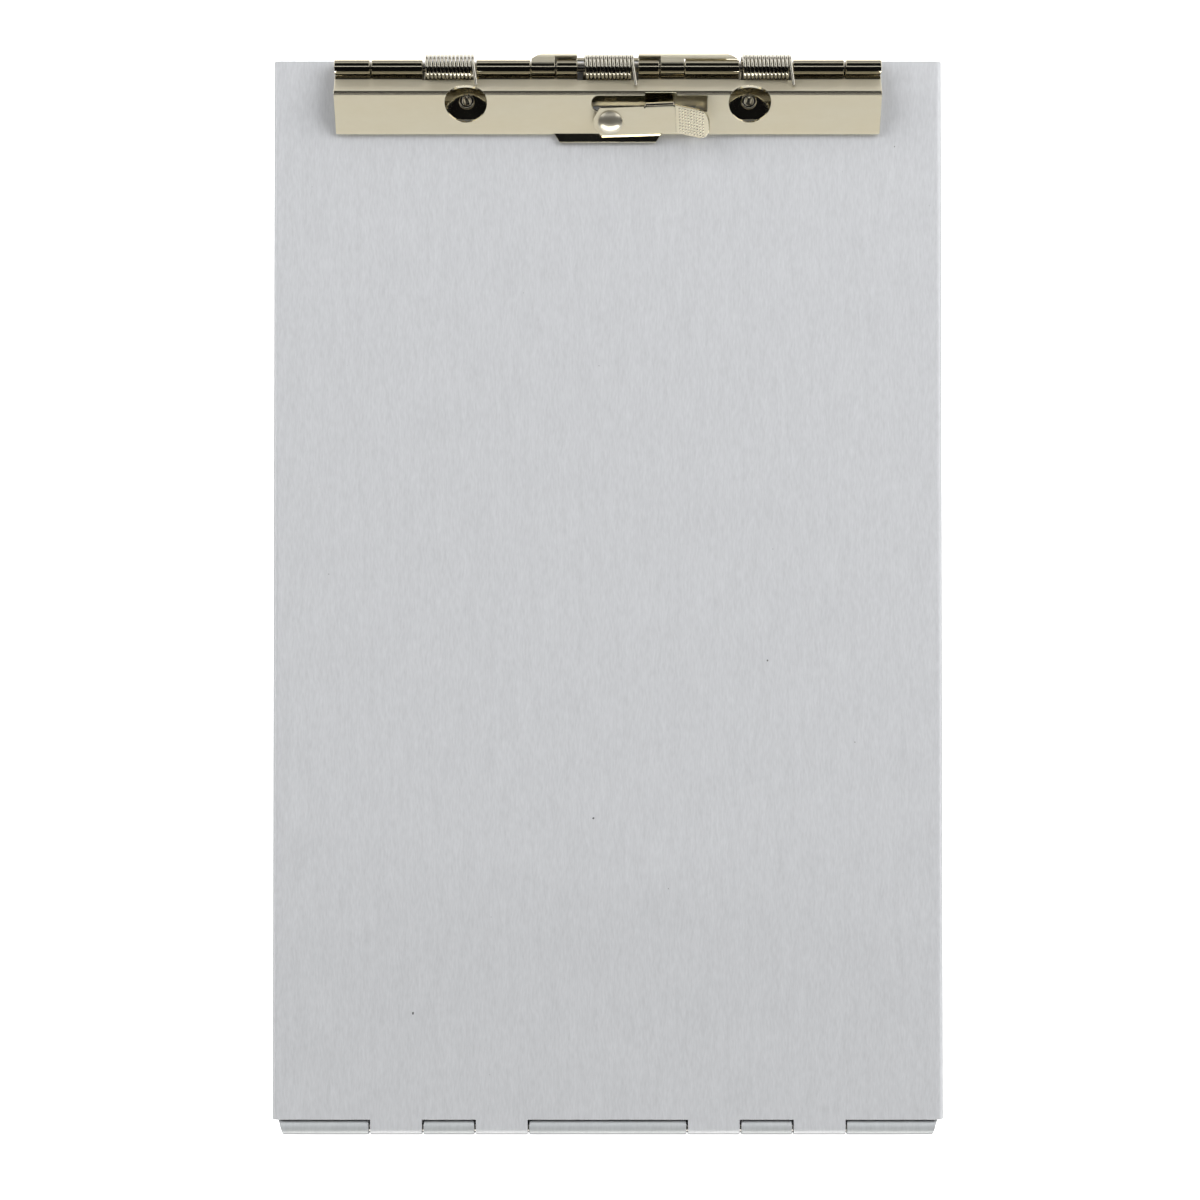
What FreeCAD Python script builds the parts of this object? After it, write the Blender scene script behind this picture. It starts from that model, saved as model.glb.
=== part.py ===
"""Storage clipboard box: a sheet aluminium tray under a hinged writing plate that
carries a sprung steel clip with a lock lever and a latch for the tray.

Millimetres. The origin is the centre of the tray's underside, +X runs across the
plate, +Y towards the clip and +Z up out of the writing face.
"""
import FreeCAD, Part
import math
import os

os.makedirs("parts", exist_ok=True)
Vector = FreeCAD.Vector

# Box, driving sizes
box_width = 228.6
plate_length = 361.4
storage_depth = 12.7
box_sheet = 1.0
flange_depth = 8.0
plate_bend_outer = 2.0
tray_bend_outer = 1.6
tray_side_gap = 0.9
tray_end_inset = 0.4
tray_lid_gap = 0.3
tray_corner_taper = 2.0

# Box hinge
hinge_pin_diameter = 2.8
pin_fit = 0.05
hinge_cutout_gap = 0.5
hinge_roll_degrees = 290.0
hinge_pin_inset = 1.4
hinge_wall_gap = 0.35
centre_knuckle_width = 53.4
side_knuckle_width = 17.2
finger_width = 17.6
knuckle_gap = 0.6

# Clip, driving sizes
clip_sheet = 1.15
clip_length = 185.8
clip_pin_diameter = 3.2
clip_pin_height = 4.9
clip_edge_inset = 3.2
clip_roll_degrees = 298.0
clip_pin_inset = 0.5

# Clip jaw
jaw_climb_degrees = 35.0
jaw_fall_degrees = 33.5
jaw_ridge_reach = 9.6
jaw_ridge_inner = 0.5
jaw_paper_gap = 0.3
jaw_knuckle_gap = 0.35
lip_root_width = 36.6
lip_tip_width = 33.0
lip_reach = 2.9
lip_bend_inner = 0.5
access_hole_diameter = 14.3
access_hole_below_ridge = 3.65

# Knuckles along the clip pin, from the clip's middle outwards, as shares of half its length
inner_base_knuckle_shares = (0.112, 0.1873)
latch_knuckle_shares = (0.1938, 0.2799)
inner_jaw_knuckle_shares = (0.2863, 0.4726)
outer_spring_shares = (0.4801, 0.6782)
outer_jaw_knuckle_shares = (0.6857, 0.8633)
outer_base_knuckle_shares = (0.8708, 1.0)

# Clip base
base_reach = 17.2
base_bend_inner = 0.8
base_rear_reach = 1.2
base_spring_slot_reach = 3.6
base_middle_reach = 12.4
base_middle_slot = (-9.0, 30.0)
rivet_spacing = 96.4
rivet_behind_edge = 14.2

# Clip rivets, tubular
rivet_head_diameter = 5.4
rivet_head_height = 1.0
rivet_shank_diameter = 4.0
rivet_bore_diameter = 2.4
rivet_tail_diameter = 5.8
rivet_tail_height = 0.7
rivet_washer_diameter = 9.0
rivet_washer_thickness = 0.8
rivet_fit = 0.05

# Springs
spring_outer_diameter = 9.2
spring_wire = 0.85
spring_whole_turns = 12
spring_end_room = 0.6
spring_upper_leg_degrees = 6.0
spring_lower_leg_degrees = 24.0
spring_upper_reach = 6.9
spring_lower_reach = 7.0
middle_spring_offset = 0.3
samples_per_arc = 4

# Latch
latch_sheet = 0.9
latch_plate_gap = 0.3
latch_bend_inner = 0.8
latch_roll_degrees = 262.0
latch_foot_height = 4.5
latch_bead_height = 0.35
latch_bead_width = 34.0
latch_bead_rise = 2.2
latch_strip_gap = 0.35
latch_web_width = 44.7
latch_shoulder = 2.0
latch_corner = 2.4

# Lock lever, measured in the plane of the jaw's front face
lever_pivot_across = 0.85
lever_pivot_below_ridge = 10.05
lever_rest_degrees = 2.5
lever_width = 10.7
lever_tail = 5.7
lever_strap = 21.7
lever_reach = 32.6
lever_pad_degrees = 20.0
lever_pad_bend = 3.0
lever_corner = 2.6
lever_tail_chamfer = 3.4
lever_tail_flat = 3.6
lever_washer_thickness = 0.7
lever_washer_diameter = 7.0
lever_face_gap = 0.05
lever_tab_width = 9.8
lever_tab_start = 12.0
lever_tab_bend_inner = 0.4
lever_tab_depth = 5.6
lever_rivet_head = 8.2
lever_rivet_rise = 1.7
lever_rivet_rim = 0.35
lever_rivet_shank = 3.2
lever_tail_diameter = 4.6
lever_tail_height = 0.7
backing_washer_thickness = 0.4
backing_washer_diameter = 5.0

# Window in the jaw's front face that the lever's tab reaches through
window_left = -5.5
window_right = 33.7
window_top = 1.2
window_bottom = 6.9
window_corner = 2.4
window_notch = (12.6, 23.4)
window_notch_top = 0.35

# One length that cuts and joints run over by
overrun = 1.0

# Places worked out from the sizes above
plate_top = 2 * box_sheet + storage_depth
plate_end = plate_length / 2
hinge_bore = hinge_pin_diameter / 2 + pin_fit
hinge_barrel = hinge_bore + box_sheet
hinge_y = -plate_end - hinge_cutout_gap - hinge_barrel
hinge_z = plate_top - hinge_barrel
tray_half = box_width / 2 - box_sheet - tray_side_gap
tray_end = plate_end - tray_end_inset
tray_foot = hinge_y - hinge_barrel
tray_wall_top = plate_top - box_sheet - tray_lid_gap
clip_bore = clip_pin_diameter / 2 + pin_fit
clip_barrel = clip_bore + clip_sheet
clip_y = plate_end - clip_edge_inset
clip_z = plate_top + clip_pin_height


def knuckle(shares):
    """A knuckle's two ends along the clip pin, out from the clip's middle."""
    return (shares[0] * clip_length / 2, shares[1] * clip_length / 2)


inner_base_knuckle = knuckle(inner_base_knuckle_shares)
latch_knuckle = knuckle(latch_knuckle_shares)
inner_jaw_knuckle = knuckle(inner_jaw_knuckle_shares)
outer_spring_zone = knuckle(outer_spring_shares)
outer_jaw_knuckle = knuckle(outer_jaw_knuckle_shares)
outer_base_knuckle = knuckle(outer_base_knuckle_shares)

# The coils fill their place along the pin, so their pitch follows from it
spring_mean = (spring_outer_diameter - spring_wire) / 2
spring_sweep = 360 * spring_whole_turns + 180 + spring_upper_leg_degrees + spring_lower_leg_degrees
coil_length = outer_spring_zone[1] - outer_spring_zone[0] - 2 * spring_end_room - spring_wire
spring_pitch = coil_length * 360 / spring_sweep
outer_spring_start = outer_spring_zone[0] + spring_end_room + spring_wire / 2
middle_spring_start = middle_spring_offset - coil_length / 2


def sine(degrees):
    return math.sin(math.radians(degrees))


def cosine(degrees):
    return math.cos(math.radians(degrees))


def tangent(degrees):
    return math.tan(math.radians(degrees))


def follow(start, heading, moves):
    """Walk a sheet's middle line of straight runs and tangent bends.

    A move is ("run", length) or ("bend", radius, degrees), left turns positive.
    Each step keeps its kind, its two ends with their headings, and its centre.
    """
    steps = []
    point = start
    for move in moves:
        if move[0] == "run":
            end = (point[0] + move[1] * cosine(heading), point[1] + move[1] * sine(heading))
            steps.append(("run", point, heading, end, heading, None, 0))
            point = end
            continue
        radius, turn = move[1], move[2]
        signed = math.copysign(radius, turn)
        centre = (point[0] - signed * sine(heading), point[1] + signed * cosine(heading))
        end_heading = heading + turn
        end = (centre[0] + signed * sine(end_heading), centre[1] - signed * cosine(end_heading))
        steps.append(("bend", point, heading, end, end_heading, centre, signed))
        point, heading = end, end_heading
    return steps


def beside(point, heading, offset):
    """The point an offset to the left of a heading."""
    return (point[0] - offset * sine(heading), point[1] + offset * cosine(heading))


def sheet_face(start, heading, moves, thickness, place):
    """A bent sheet's cross-section, with place(u, v) putting it into space."""
    steps = follow(start, heading, moves)
    edges = []
    for side in (1, -1):
        offset = side * thickness / 2
        for kind, first, first_heading, last, last_heading, centre, signed in steps:
            near = beside(first, first_heading, offset)
            far = beside(last, last_heading, offset)
            if kind == "run":
                edges.append(Part.LineSegment(place(*near), place(*far)).toShape())
                continue
            middle_heading = (first_heading + last_heading) / 2
            reach = signed - offset
            middle = (centre[0] + reach * sine(middle_heading), centre[1] - reach * cosine(middle_heading))
            edges.append(Part.Arc(place(*near), place(*middle), place(*far)).toShape())
    for point, direction in ((steps[0][1], steps[0][2]), (steps[-1][3], steps[-1][4])):
        left = beside(point, direction, thickness / 2)
        right = beside(point, direction, -thickness / 2)
        edges.append(Part.LineSegment(place(*left), place(*right)).toShape())
    return Part.Face(Part.Wire(Part.__sortEdges__(edges)))


def strip_across(start, heading, moves, thickness, x_from, x_to):
    """A bent sheet whose cross-section lies in the YZ plane, from one x to another."""
    face = sheet_face(start, heading, moves, thickness, lambda u, v: Vector(x_from, u, v))
    return face.extrude(Vector(x_to - x_from, 0, 0))


def block(x_from, x_to, y_from, y_to, z_from, z_to):
    corner = Vector(x_from, y_from, z_from)
    return Part.makeBox(x_to - x_from, y_to - y_from, z_to - z_from, corner)


def prism(points, z_from, z_to):
    """A polygon in plan, raised from one height to another."""
    corners = [Vector(x, y, z_from) for x, y in points]
    face = Part.Face(Part.makePolygon(corners + corners[:1]))
    return face.extrude(Vector(0, 0, z_to - z_from))


def fillet_where(shape, radius, wanted):
    return shape.makeFillet(radius, [edge for edge in shape.Edges if wanted(edge)])


def joined(shapes):
    """Fuse touching solids of one piece and merge the faces that run on."""
    whole = shapes[0].multiFuse(shapes[1:]) if len(shapes) > 1 else shapes[0]
    return whole.removeSplitter()


def save(shape, name):
    solids = shape.Solids
    piece = solids[0] if len(solids) == 1 else Part.makeCompound(solids)
    piece.exportStep("parts/" + name + ".step")
    print(name, "solids", len(solids), "valid", piece.isValid(), "volume", round(piece.Volume, 2))


def mirrored_zones(zone):
    """A zone on the right of the middle and its twin on the left."""
    return [(zone[0], zone[1]), (-zone[1], -zone[0])]


# Box hinge layout, from the middle outwards
first_finger = centre_knuckle_width / 2 + knuckle_gap
side_knuckle = first_finger + finger_width + knuckle_gap
second_finger = side_knuckle + side_knuckle_width + knuckle_gap
end_knuckle = second_finger + finger_width + knuckle_gap
finger_zones = (mirrored_zones((first_finger, first_finger + finger_width))
                + mirrored_zones((second_finger, second_finger + finger_width)))
tray_knuckle_zones = ([(-centre_knuckle_width / 2, centre_knuckle_width / 2)]
                      + mirrored_zones((side_knuckle, side_knuckle + side_knuckle_width))
                      + mirrored_zones((end_knuckle, tray_half)))


def tray_outline(inset):
    """The tray in plan, with tapered corners at the hinge, drawn in by an inset."""
    half = tray_half - inset
    lean = math.degrees(math.atan2(tray_corner_taper, -plate_end - tray_foot))
    taper_start = -plate_end + inset * (tangent(lean / 2))
    foot = tray_foot + inset
    foot_half = half - (taper_start - foot) * tangent(lean)
    return [(-half, taper_start), (-foot_half, foot), (foot_half, foot), (half, taper_start),
            (half, tray_end - inset), (-half, tray_end - inset)]


def make_tray():
    """A folded pan whose hinge end wall is rolled into knuckles round the pin."""
    outer = prism(tray_outline(0), 0, tray_wall_top)
    outer = fillet_where(outer, tray_bend_outer, lambda edge: edge.BoundBox.ZMax < overrun / 2)
    inner = prism(tray_outline(box_sheet), box_sheet, tray_wall_top + overrun)
    inner_bend = tray_bend_outer - box_sheet
    inner = fillet_where(inner, inner_bend, lambda edge: edge.BoundBox.ZMax < box_sheet + overrun / 2)
    pan = outer.cut(inner)
    wall_top = hinge_z - hinge_barrel - hinge_wall_gap
    foot_half = tray_outline(box_sheet)[2][0]
    pan = pan.cut(block(-foot_half, foot_half, tray_foot - overrun, tray_foot + box_sheet,
                        wall_top, tray_wall_top + overrun))
    start = (tray_foot + box_sheet / 2, wall_top - overrun)
    moves = [("run", hinge_z - wall_top + overrun),
             ("bend", hinge_bore + box_sheet / 2, -hinge_roll_degrees)]
    knuckles = [strip_across(start, 90, moves, box_sheet, *zone) for zone in tray_knuckle_zones]
    inside_plan = prism(tray_outline(0), 0, plate_top + overrun)
    knuckles = [knuckle.common(inside_plan) for knuckle in knuckles]
    return joined([pan] + knuckles)


def make_writing_plate():
    """The lid: a flat plate with side flanges, and fingers rolled round the hinge pin."""
    middle = box_sheet / 2
    bend = plate_bend_outer - middle
    across = box_width - 2 * plate_bend_outer
    drop = flange_depth - plate_bend_outer
    face = sheet_face((-box_width / 2 + middle, plate_top - flange_depth), 90,
                      [("run", drop), ("bend", bend, -90), ("run", across),
                       ("bend", bend, -90), ("run", drop)], box_sheet,
                      lambda u, v: Vector(u, -plate_end, v))
    plate = face.extrude(Vector(0, plate_length, 0))
    moves = [("run", -plate_end + overrun - hinge_y), ("bend", hinge_bore + middle, hinge_roll_degrees)]
    fingers = [strip_across((-plate_end + overrun, plate_top - middle), 180, moves, box_sheet, *zone)
               for zone in finger_zones]
    plate = joined([plate] + fingers)
    for rivet_x in (-rivet_spacing / 2, rivet_spacing / 2):
        hole = Part.makeCylinder(rivet_shank_diameter / 2 + rivet_fit, box_sheet + 2 * overrun,
                                 Vector(rivet_x, plate_end - rivet_behind_edge,
                                        plate_top - box_sheet - overrun))
        plate = plate.cut(hole)
    return plate


def make_box_hinge_pin():
    half = tray_outline(0)[2][0] - hinge_pin_inset
    return Part.makeCylinder(hinge_pin_diameter / 2, 2 * half, Vector(-half, hinge_y, hinge_z),
                             Vector(1, 0, 0))


def make_clip_base():
    """The leaf riveted to the plate, its rear edge stood up and rolled round the pin."""
    half = clip_length / 2
    middle = clip_sheet / 2
    front = clip_y - base_reach
    rear = clip_y + clip_barrel
    bend = base_bend_inner + middle
    moves = [("run", rear - front - base_bend_inner - clip_sheet), ("bend", bend, 90),
             ("run", clip_z - plate_top - middle - bend), ("bend", clip_bore + middle, clip_roll_degrees)]
    zones = mirrored_zones(outer_base_knuckle) + mirrored_zones(inner_base_knuckle)
    knuckles = [strip_across((front, plate_top + middle), 0, moves, clip_sheet, *zone) for zone in zones]
    leaf = block(-half, half, front, clip_y + base_rear_reach, plate_top, plate_top + clip_sheet)
    leaf = joined([leaf] + knuckles)
    slots = mirrored_zones(outer_spring_zone) + [(-inner_base_knuckle[0], inner_base_knuckle[0])]
    for slot in slots:
        leaf = leaf.cut(block(slot[0], slot[1], clip_y - base_spring_slot_reach, rear + overrun,
                              plate_top - overrun, clip_z + clip_barrel + overrun))
    leaf = leaf.cut(block(base_middle_slot[0], base_middle_slot[1], front - overrun,
                          clip_y - base_middle_reach, plate_top - overrun, plate_top + 2 * clip_sheet))
    for rivet_x in (-rivet_spacing / 2, rivet_spacing / 2):
        leaf = leaf.cut(Part.makeCylinder(rivet_shank_diameter / 2 + rivet_fit, clip_sheet + 2 * overrun,
                                          Vector(rivet_x, plate_end - rivet_behind_edge,
                                                 plate_top - overrun)))
    return leaf


def jaw_geometry():
    """Where the jaw's middle line leaves the barrel, turns at the ridge and ends."""
    middle = clip_sheet / 2
    leave = 270 - jaw_climb_degrees
    radius = clip_bore + middle
    start = (clip_y + radius * cosine(leave), clip_z + radius * sine(leave))
    ridge_y = clip_y - jaw_ridge_reach
    ridge_z = start[1] + (start[0] - ridge_y) * tangent(jaw_climb_degrees)
    bend = jaw_ridge_inner + middle
    shortening = bend * tangent((jaw_climb_degrees + jaw_fall_degrees) / 2)
    climb = (start[0] - ridge_y) / cosine(jaw_climb_degrees) - shortening
    tip_z = plate_top + jaw_paper_gap + middle * cosine(jaw_fall_degrees)
    fall = (ridge_z - tip_z) / sine(jaw_fall_degrees) - shortening
    return {"bend": bend, "climb": climb, "fall": fall, "ridge": (ridge_y, ridge_z)}


jaw = jaw_geometry()
face_lift = clip_sheet / 2
ridge_top = Vector(0, jaw["ridge"][0], jaw["ridge"][1]) + Vector(
    0, -face_lift * tangent((jaw_fall_degrees - jaw_climb_degrees) / 2), face_lift / cosine(
        (jaw_climb_degrees + jaw_fall_degrees) / 2))
front_normal = Vector(0, -sine(jaw_fall_degrees), cosine(jaw_fall_degrees))
front_up = Vector(0, cosine(jaw_fall_degrees), sine(jaw_fall_degrees))
rear_normal = Vector(0, sine(jaw_climb_degrees), cosine(jaw_climb_degrees))
rear_down = Vector(0, cosine(jaw_climb_degrees), -sine(jaw_climb_degrees))


def on_front(across, below_ridge, lift):
    """A point of the jaw's front face, by its distance below the ridge and off the face."""
    return ridge_top + Vector(across, 0, 0) - front_up * below_ridge + front_normal * lift


def front_prism(points, lift_from, lift_to):
    """A polygon drawn on the jaw's front face, given a thickness along its normal."""
    corners = [on_front(across, below, lift_from) for across, below in points]
    face = Part.Face(Part.makePolygon(corners + corners[:1]))
    return face.extrude(front_normal * (lift_to - lift_from))


def along_front_normal(edge):
    if edge.Curve.TypeId != "Part::GeomLine":
        return False
    direction = edge.tangentAt(edge.FirstParameter)
    return abs(abs(direction.dot(front_normal)) - 1) < math.radians(1)


def access_hole(across):
    """A round hole punched before bending, so that it crosses the ridge."""
    radius = access_hole_diameter / 2
    deep = access_hole_diameter
    low = Part.makeCylinder(radius, 2 * deep, on_front(across, access_hole_below_ridge, -deep), front_normal)
    turned = ridge_top + Vector(across, 0, 0) - rear_down * access_hole_below_ridge - rear_normal * deep
    high = Part.makeCylinder(radius, 2 * deep, turned, rear_normal)
    far = 2 * deep
    front_side = block(across - far, across + far, ridge_top.y - far, ridge_top.y, plate_top, plate_top + far)
    rear_side = block(across - far, across + far, ridge_top.y, ridge_top.y + far, plate_top, plate_top + far)
    return low.common(front_side).fuse(high.common(rear_side))


def jaw_window():
    window = front_prism([(window_left, window_top), (window_right, window_top),
                          (window_right, window_bottom), (window_left, window_bottom)],
                         -2 * clip_sheet, 2 * clip_sheet)
    left_end = on_front(window_left, 0, 0).x + overrun
    window = fillet_where(window, window_corner,
                          lambda edge: along_front_normal(edge) and edge.BoundBox.XMax < left_end)
    notch = front_prism([(window_notch[0], window_notch_top), (window_notch[1], window_notch_top),
                         (window_notch[1], window_top + overrun), (window_notch[0], window_top + overrun)],
                        -2 * clip_sheet, 2 * clip_sheet)
    return window.fuse(notch)


def make_clip_jaw():
    """The jaw: rolled round the pin, up to a ridge, down to the paper, with a lifting lip."""
    half = clip_length / 2
    middle = clip_sheet / 2
    roll = clip_bore + middle
    begin = 270 - jaw_climb_degrees + clip_roll_degrees
    start = (clip_y + roll * cosine(begin), clip_z + roll * sine(begin))
    shared = [("bend", roll, -clip_roll_degrees), ("run", jaw["climb"]),
              ("bend", jaw["bend"], jaw_climb_degrees + jaw_fall_degrees)]
    plain = shared + [("run", jaw["fall"])]
    lip_bend = lip_bend_inner + middle
    lip_shortening = lip_bend * tangent(jaw_fall_degrees / 2)
    lip_level = plate_top + jaw_paper_gap + middle
    ridge_drop = jaw["ridge"][1] - lip_level
    shortening = jaw["bend"] * tangent((jaw_climb_degrees + jaw_fall_degrees) / 2)
    lip_fall = ridge_drop / sine(jaw_fall_degrees) - shortening - lip_shortening
    lip_moves = shared + [("run", lip_fall), ("bend", lip_bend, -jaw_fall_degrees), ("run", lip_reach)]
    heading = begin - 90
    root = lip_root_width / 2
    sides = [strip_across(start, heading, plain, clip_sheet, *zone) for zone in mirrored_zones((root, half))]
    lipped = strip_across(start, heading, lip_moves, clip_sheet, -root, root)
    shape = joined([lipped] + sides)
    tip_y = lipped.BoundBox.YMin
    root_y = tip_y + lip_reach
    narrowing = (lip_root_width - lip_tip_width) / 2
    for side in (1, -1):
        points = [(side * (root + overrun), root_y), (side * root, root_y),
                  (side * (root - narrowing), tip_y), (side * (root - narrowing), tip_y - overrun),
                  (side * (root + overrun), tip_y - overrun)]
        shape = shape.cut(prism(points, plate_top - overrun, plate_top + 2 * clip_sheet))
    barrel_clear = clip_barrel + jaw_knuckle_gap
    spring_clear = spring_outer_diameter / 2 + jaw_knuckle_gap
    knuckle_side = knuckle_gap / 2
    cuts = [((outer_base_knuckle[0] - knuckle_side, half + overrun), barrel_clear),
            (outer_spring_zone, spring_clear)]
    for zone, reach in cuts:
        for left, right in mirrored_zones(zone):
            shape = shape.cut(block(left, right, clip_y - reach, clip_y + 2 * spring_clear,
                                    plate_top, clip_z + spring_clear))
    shape = shape.cut(block(-inner_jaw_knuckle[0] + knuckle_side, inner_jaw_knuckle[0] - knuckle_side,
                            clip_y - barrel_clear, clip_y + 2 * spring_clear,
                            plate_top, clip_z + spring_clear))
    shape = shape.cut(block(-inner_base_knuckle[0], inner_base_knuckle[0],
                            clip_y - spring_clear, clip_y + 2 * spring_clear,
                            plate_top, clip_z + spring_clear))
    for left, right in mirrored_zones((outer_jaw_knuckle[1], outer_base_knuckle[0])):
        shape = shape.cut(block(left, right, clip_y - barrel_clear, clip_y + 2 * spring_clear,
                                plate_top, clip_z + spring_clear))
    for across in (-rivet_spacing / 2, rivet_spacing / 2):
        shape = shape.cut(access_hole(across))
    shape = shape.cut(jaw_window())
    pivot = on_front(lever_pivot_across, lever_pivot_below_ridge, -2 * clip_sheet)
    bore = Part.makeCylinder(lever_rivet_shank / 2 + pin_fit, 4 * clip_sheet, pivot, front_normal)
    return shape.cut(bore)


def make_clip_pin():
    half = clip_length / 2 - clip_pin_inset
    return Part.makeCylinder(clip_pin_diameter / 2, 2 * half, Vector(-half, clip_y, clip_z), Vector(1, 0, 0))


def make_latch_hook():
    """The leaf that hangs on the clip pin and reaches down behind the tray's end wall."""
    middle = latch_sheet / 2
    bend = latch_bend_inner + middle
    roll = clip_bore + middle
    plate_y = plate_end + latch_plate_gap + middle
    top_z = clip_z + roll
    half = latch_knuckle[1]
    moves = [("run", top_z - bend - latch_foot_height), ("bend", bend, 90),
             ("run", plate_y - bend - clip_y), ("bend", roll, latch_roll_degrees)]
    shape = strip_across((plate_y, latch_foot_height), 90, moves, latch_sheet, -half, half)
    web = latch_web_width / 2
    outer_y = plate_y + middle
    shoulder_y = outer_y - latch_shoulder
    bend_low = top_z - bend
    for side in (1, -1):
        corner = [(side * half, shoulder_y), (side * (half + overrun), shoulder_y),
                  (side * (half + overrun), outer_y + overrun), (side * web, outer_y + overrun),
                  (side * web, outer_y)]
        shape = shape.cut(prism(corner, bend_low, top_z + latch_sheet))
        left, right = sorted((side * web, side * (half + overrun)))
        shape = shape.cut(block(left, right, plate_y - latch_sheet, outer_y + overrun,
                                latch_foot_height - overrun, bend_low))
    strip_front = clip_y + clip_barrel + latch_strip_gap
    inner = latch_knuckle[0]
    shape = shape.cut(block(-inner, inner, clip_y - 2 * clip_barrel, strip_front,
                            latch_foot_height, top_z + latch_sheet))
    spring_low = clip_z - spring_outer_diameter / 2 - latch_strip_gap
    shape = shape.cut(block(-inner_base_knuckle[0], inner_base_knuckle[0], clip_y - 2 * clip_barrel,
                            plate_y + latch_sheet, spring_low, top_z + latch_sheet))
    shape = fillet_where(shape, latch_corner,
                         lambda edge: (edge.BoundBox.ZMax < latch_foot_height + overrun / 2
                                       and edge.BoundBox.YLength > latch_sheet / 2))
    bead_z = latch_foot_height + latch_corner
    bead_face = sheet_face((plate_y - middle, bead_z), 90, [("run", latch_bead_rise)],
                           2 * latch_bead_height, lambda u, v: Vector(-latch_bead_width / 2, u, v))
    bead = bead_face.extrude(Vector(latch_bead_width, 0, 0))
    return joined([shape, bead])


def biarc(start, start_direction, end, end_direction):
    """Two tangent arcs that leave one point and reach another in given directions."""
    across = end - start
    both = start_direction + end_direction
    spread = 2 * (1 - start_direction.dot(end_direction))
    reach = (math.sqrt(across.dot(both) ** 2 + spread * across.dot(across)) - across.dot(both)) / spread
    meet = (start + end + (start_direction - end_direction) * reach) * (1 / 2)
    arcs = []
    for first, corner, last in ((start, start + start_direction * reach, meet),
                                (meet, end - end_direction * reach, end)):
        chord_middle = (first + last) * (1 / 2)
        half_turn = (corner - first).getAngle(last - first)
        share = math.cos(half_turn) / (1 + math.cos(half_turn))
        arcs.append(Part.Arc(first, chord_middle + (corner - chord_middle) * share, last).toShape())
    return arcs


def least_gap(samples, skip):
    """The least space between the wire and itself, leaving out each point's own half turn."""
    least = None
    for index, here in enumerate(samples):
        for there in samples[index + skip:]:
            space = here.distanceToPoint(there) - spring_wire
            least = space if least is None else min(least, space)
    return least


def make_spring(first_x):
    """A torsion spring round the pin, one unbroken wire with a leg on the base and one on the jaw."""
    low = 270 - spring_lower_leg_degrees
    high = 90 + spring_upper_leg_degrees
    quarters = int(round(spring_sweep / 90))
    lead = spring_pitch / 360
    tilt = math.hypot(spring_mean, spring_pitch / (2 * math.pi))

    def point(angle):
        return Vector(first_x + lead * (angle - low), clip_y + spring_mean * cosine(angle),
                      clip_z + spring_mean * sine(angle))

    def direction(angle):
        return Vector(spring_pitch / (2 * math.pi), -spring_mean * sine(angle),
                      spring_mean * cosine(angle)) * (1 / tilt)

    angles = [low + spring_sweep * index / quarters for index in range(quarters + 1)]
    low_run = (spring_lower_reach - spring_mean * sine(spring_lower_leg_degrees)) / cosine(
        spring_lower_leg_degrees)
    high_run = (spring_upper_reach - spring_mean * sine(spring_upper_leg_degrees)) / cosine(
        spring_upper_leg_degrees)
    begin = point(low) - direction(low) * low_run
    finish = point(angles[-1]) + direction(angles[-1]) * high_run
    edges = [Part.LineSegment(begin, point(low)).toShape()]
    for first, last in zip(angles[:-1], angles[1:]):
        edges += biarc(point(first), direction(first), point(last), direction(last))
    edges.append(Part.LineSegment(point(angles[-1]), finish).toShape())
    path = Part.Wire(edges)
    section = Part.Wire(Part.makeCircle(spring_wire / 2, begin, direction(low)))
    tube = path.makePipeShell([section], True, False)
    count = quarters * samples_per_arc
    samples = [point(low + spring_sweep * index / count) for index in range(count + 1)]
    return tube, path.Length, least_gap(samples, 2 * samples_per_arc)


def lever_point(along, up, lift):
    """A point in the lever's own frame: along the strap, up the face and off the face."""
    turned_x = along * cosine(lever_rest_degrees) - up * sine(lever_rest_degrees)
    turned_up = along * sine(lever_rest_degrees) + up * cosine(lever_rest_degrees)
    return on_front(lever_pivot_across + turned_x, lever_pivot_below_ridge - turned_up, lift)


def lever_frame_vector(along, up, lift):
    return lever_point(along, up, lift) - lever_point(0, 0, 0)


def make_lock_lever():
    """A strap on a rivet, with a raised finger pad and a tab bent in through the window."""
    half = lever_width / 2
    stand = 2 * lever_face_gap + lever_washer_thickness
    level = stand + clip_sheet / 2
    pad_run = (lever_reach - lever_strap) / cosine(lever_pad_degrees)
    face = sheet_face((-lever_tail, level), 0,
                      [("run", lever_tail + lever_strap), ("bend", lever_pad_bend, lever_pad_degrees),
                       ("run", pad_run)], clip_sheet, lambda u, v: lever_point(u, -half, v))
    strap = face.extrude(lever_frame_vector(0, lever_width, 0))
    end = lever_reach + overrun
    outline = [(-lever_tail, -lever_tail_flat / 2), (-lever_tail_chamfer, -half), (end, -half),
               (end, half), (-lever_tail_chamfer, half), (-lever_tail, lever_tail_flat / 2)]
    corners = [lever_point(along, up, -overrun) for along, up in outline]
    plan = Part.Face(Part.makePolygon(corners + corners[:1])).extrude(
        front_normal * (lever_reach / 2))
    plan = fillet_where(plan, lever_corner,
                        lambda edge: along_front_normal(edge) and edge.BoundBox.XMin > lever_strap)
    strap = strap.common(plan)
    tab_outer = clip_sheet + lever_tab_bend_inner
    tab_bend = lever_tab_bend_inner + clip_sheet / 2
    tab_face = sheet_face((half - tab_outer, level), 0,
                          [("run", tab_outer - lever_tab_bend_inner), ("bend", tab_bend, -90),
                           ("run", lever_tab_depth)], clip_sheet,
                          lambda u, v: lever_point(lever_tab_start, u, v))
    tab = tab_face.extrude(lever_frame_vector(lever_tab_width, 0, 0))
    lever = joined([strap, tab])
    bore = Part.makeCylinder(lever_rivet_shank / 2 + pin_fit, 4 * clip_sheet,
                             lever_point(0, 0, -clip_sheet), front_normal)
    return lever.cut(bore)


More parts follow.
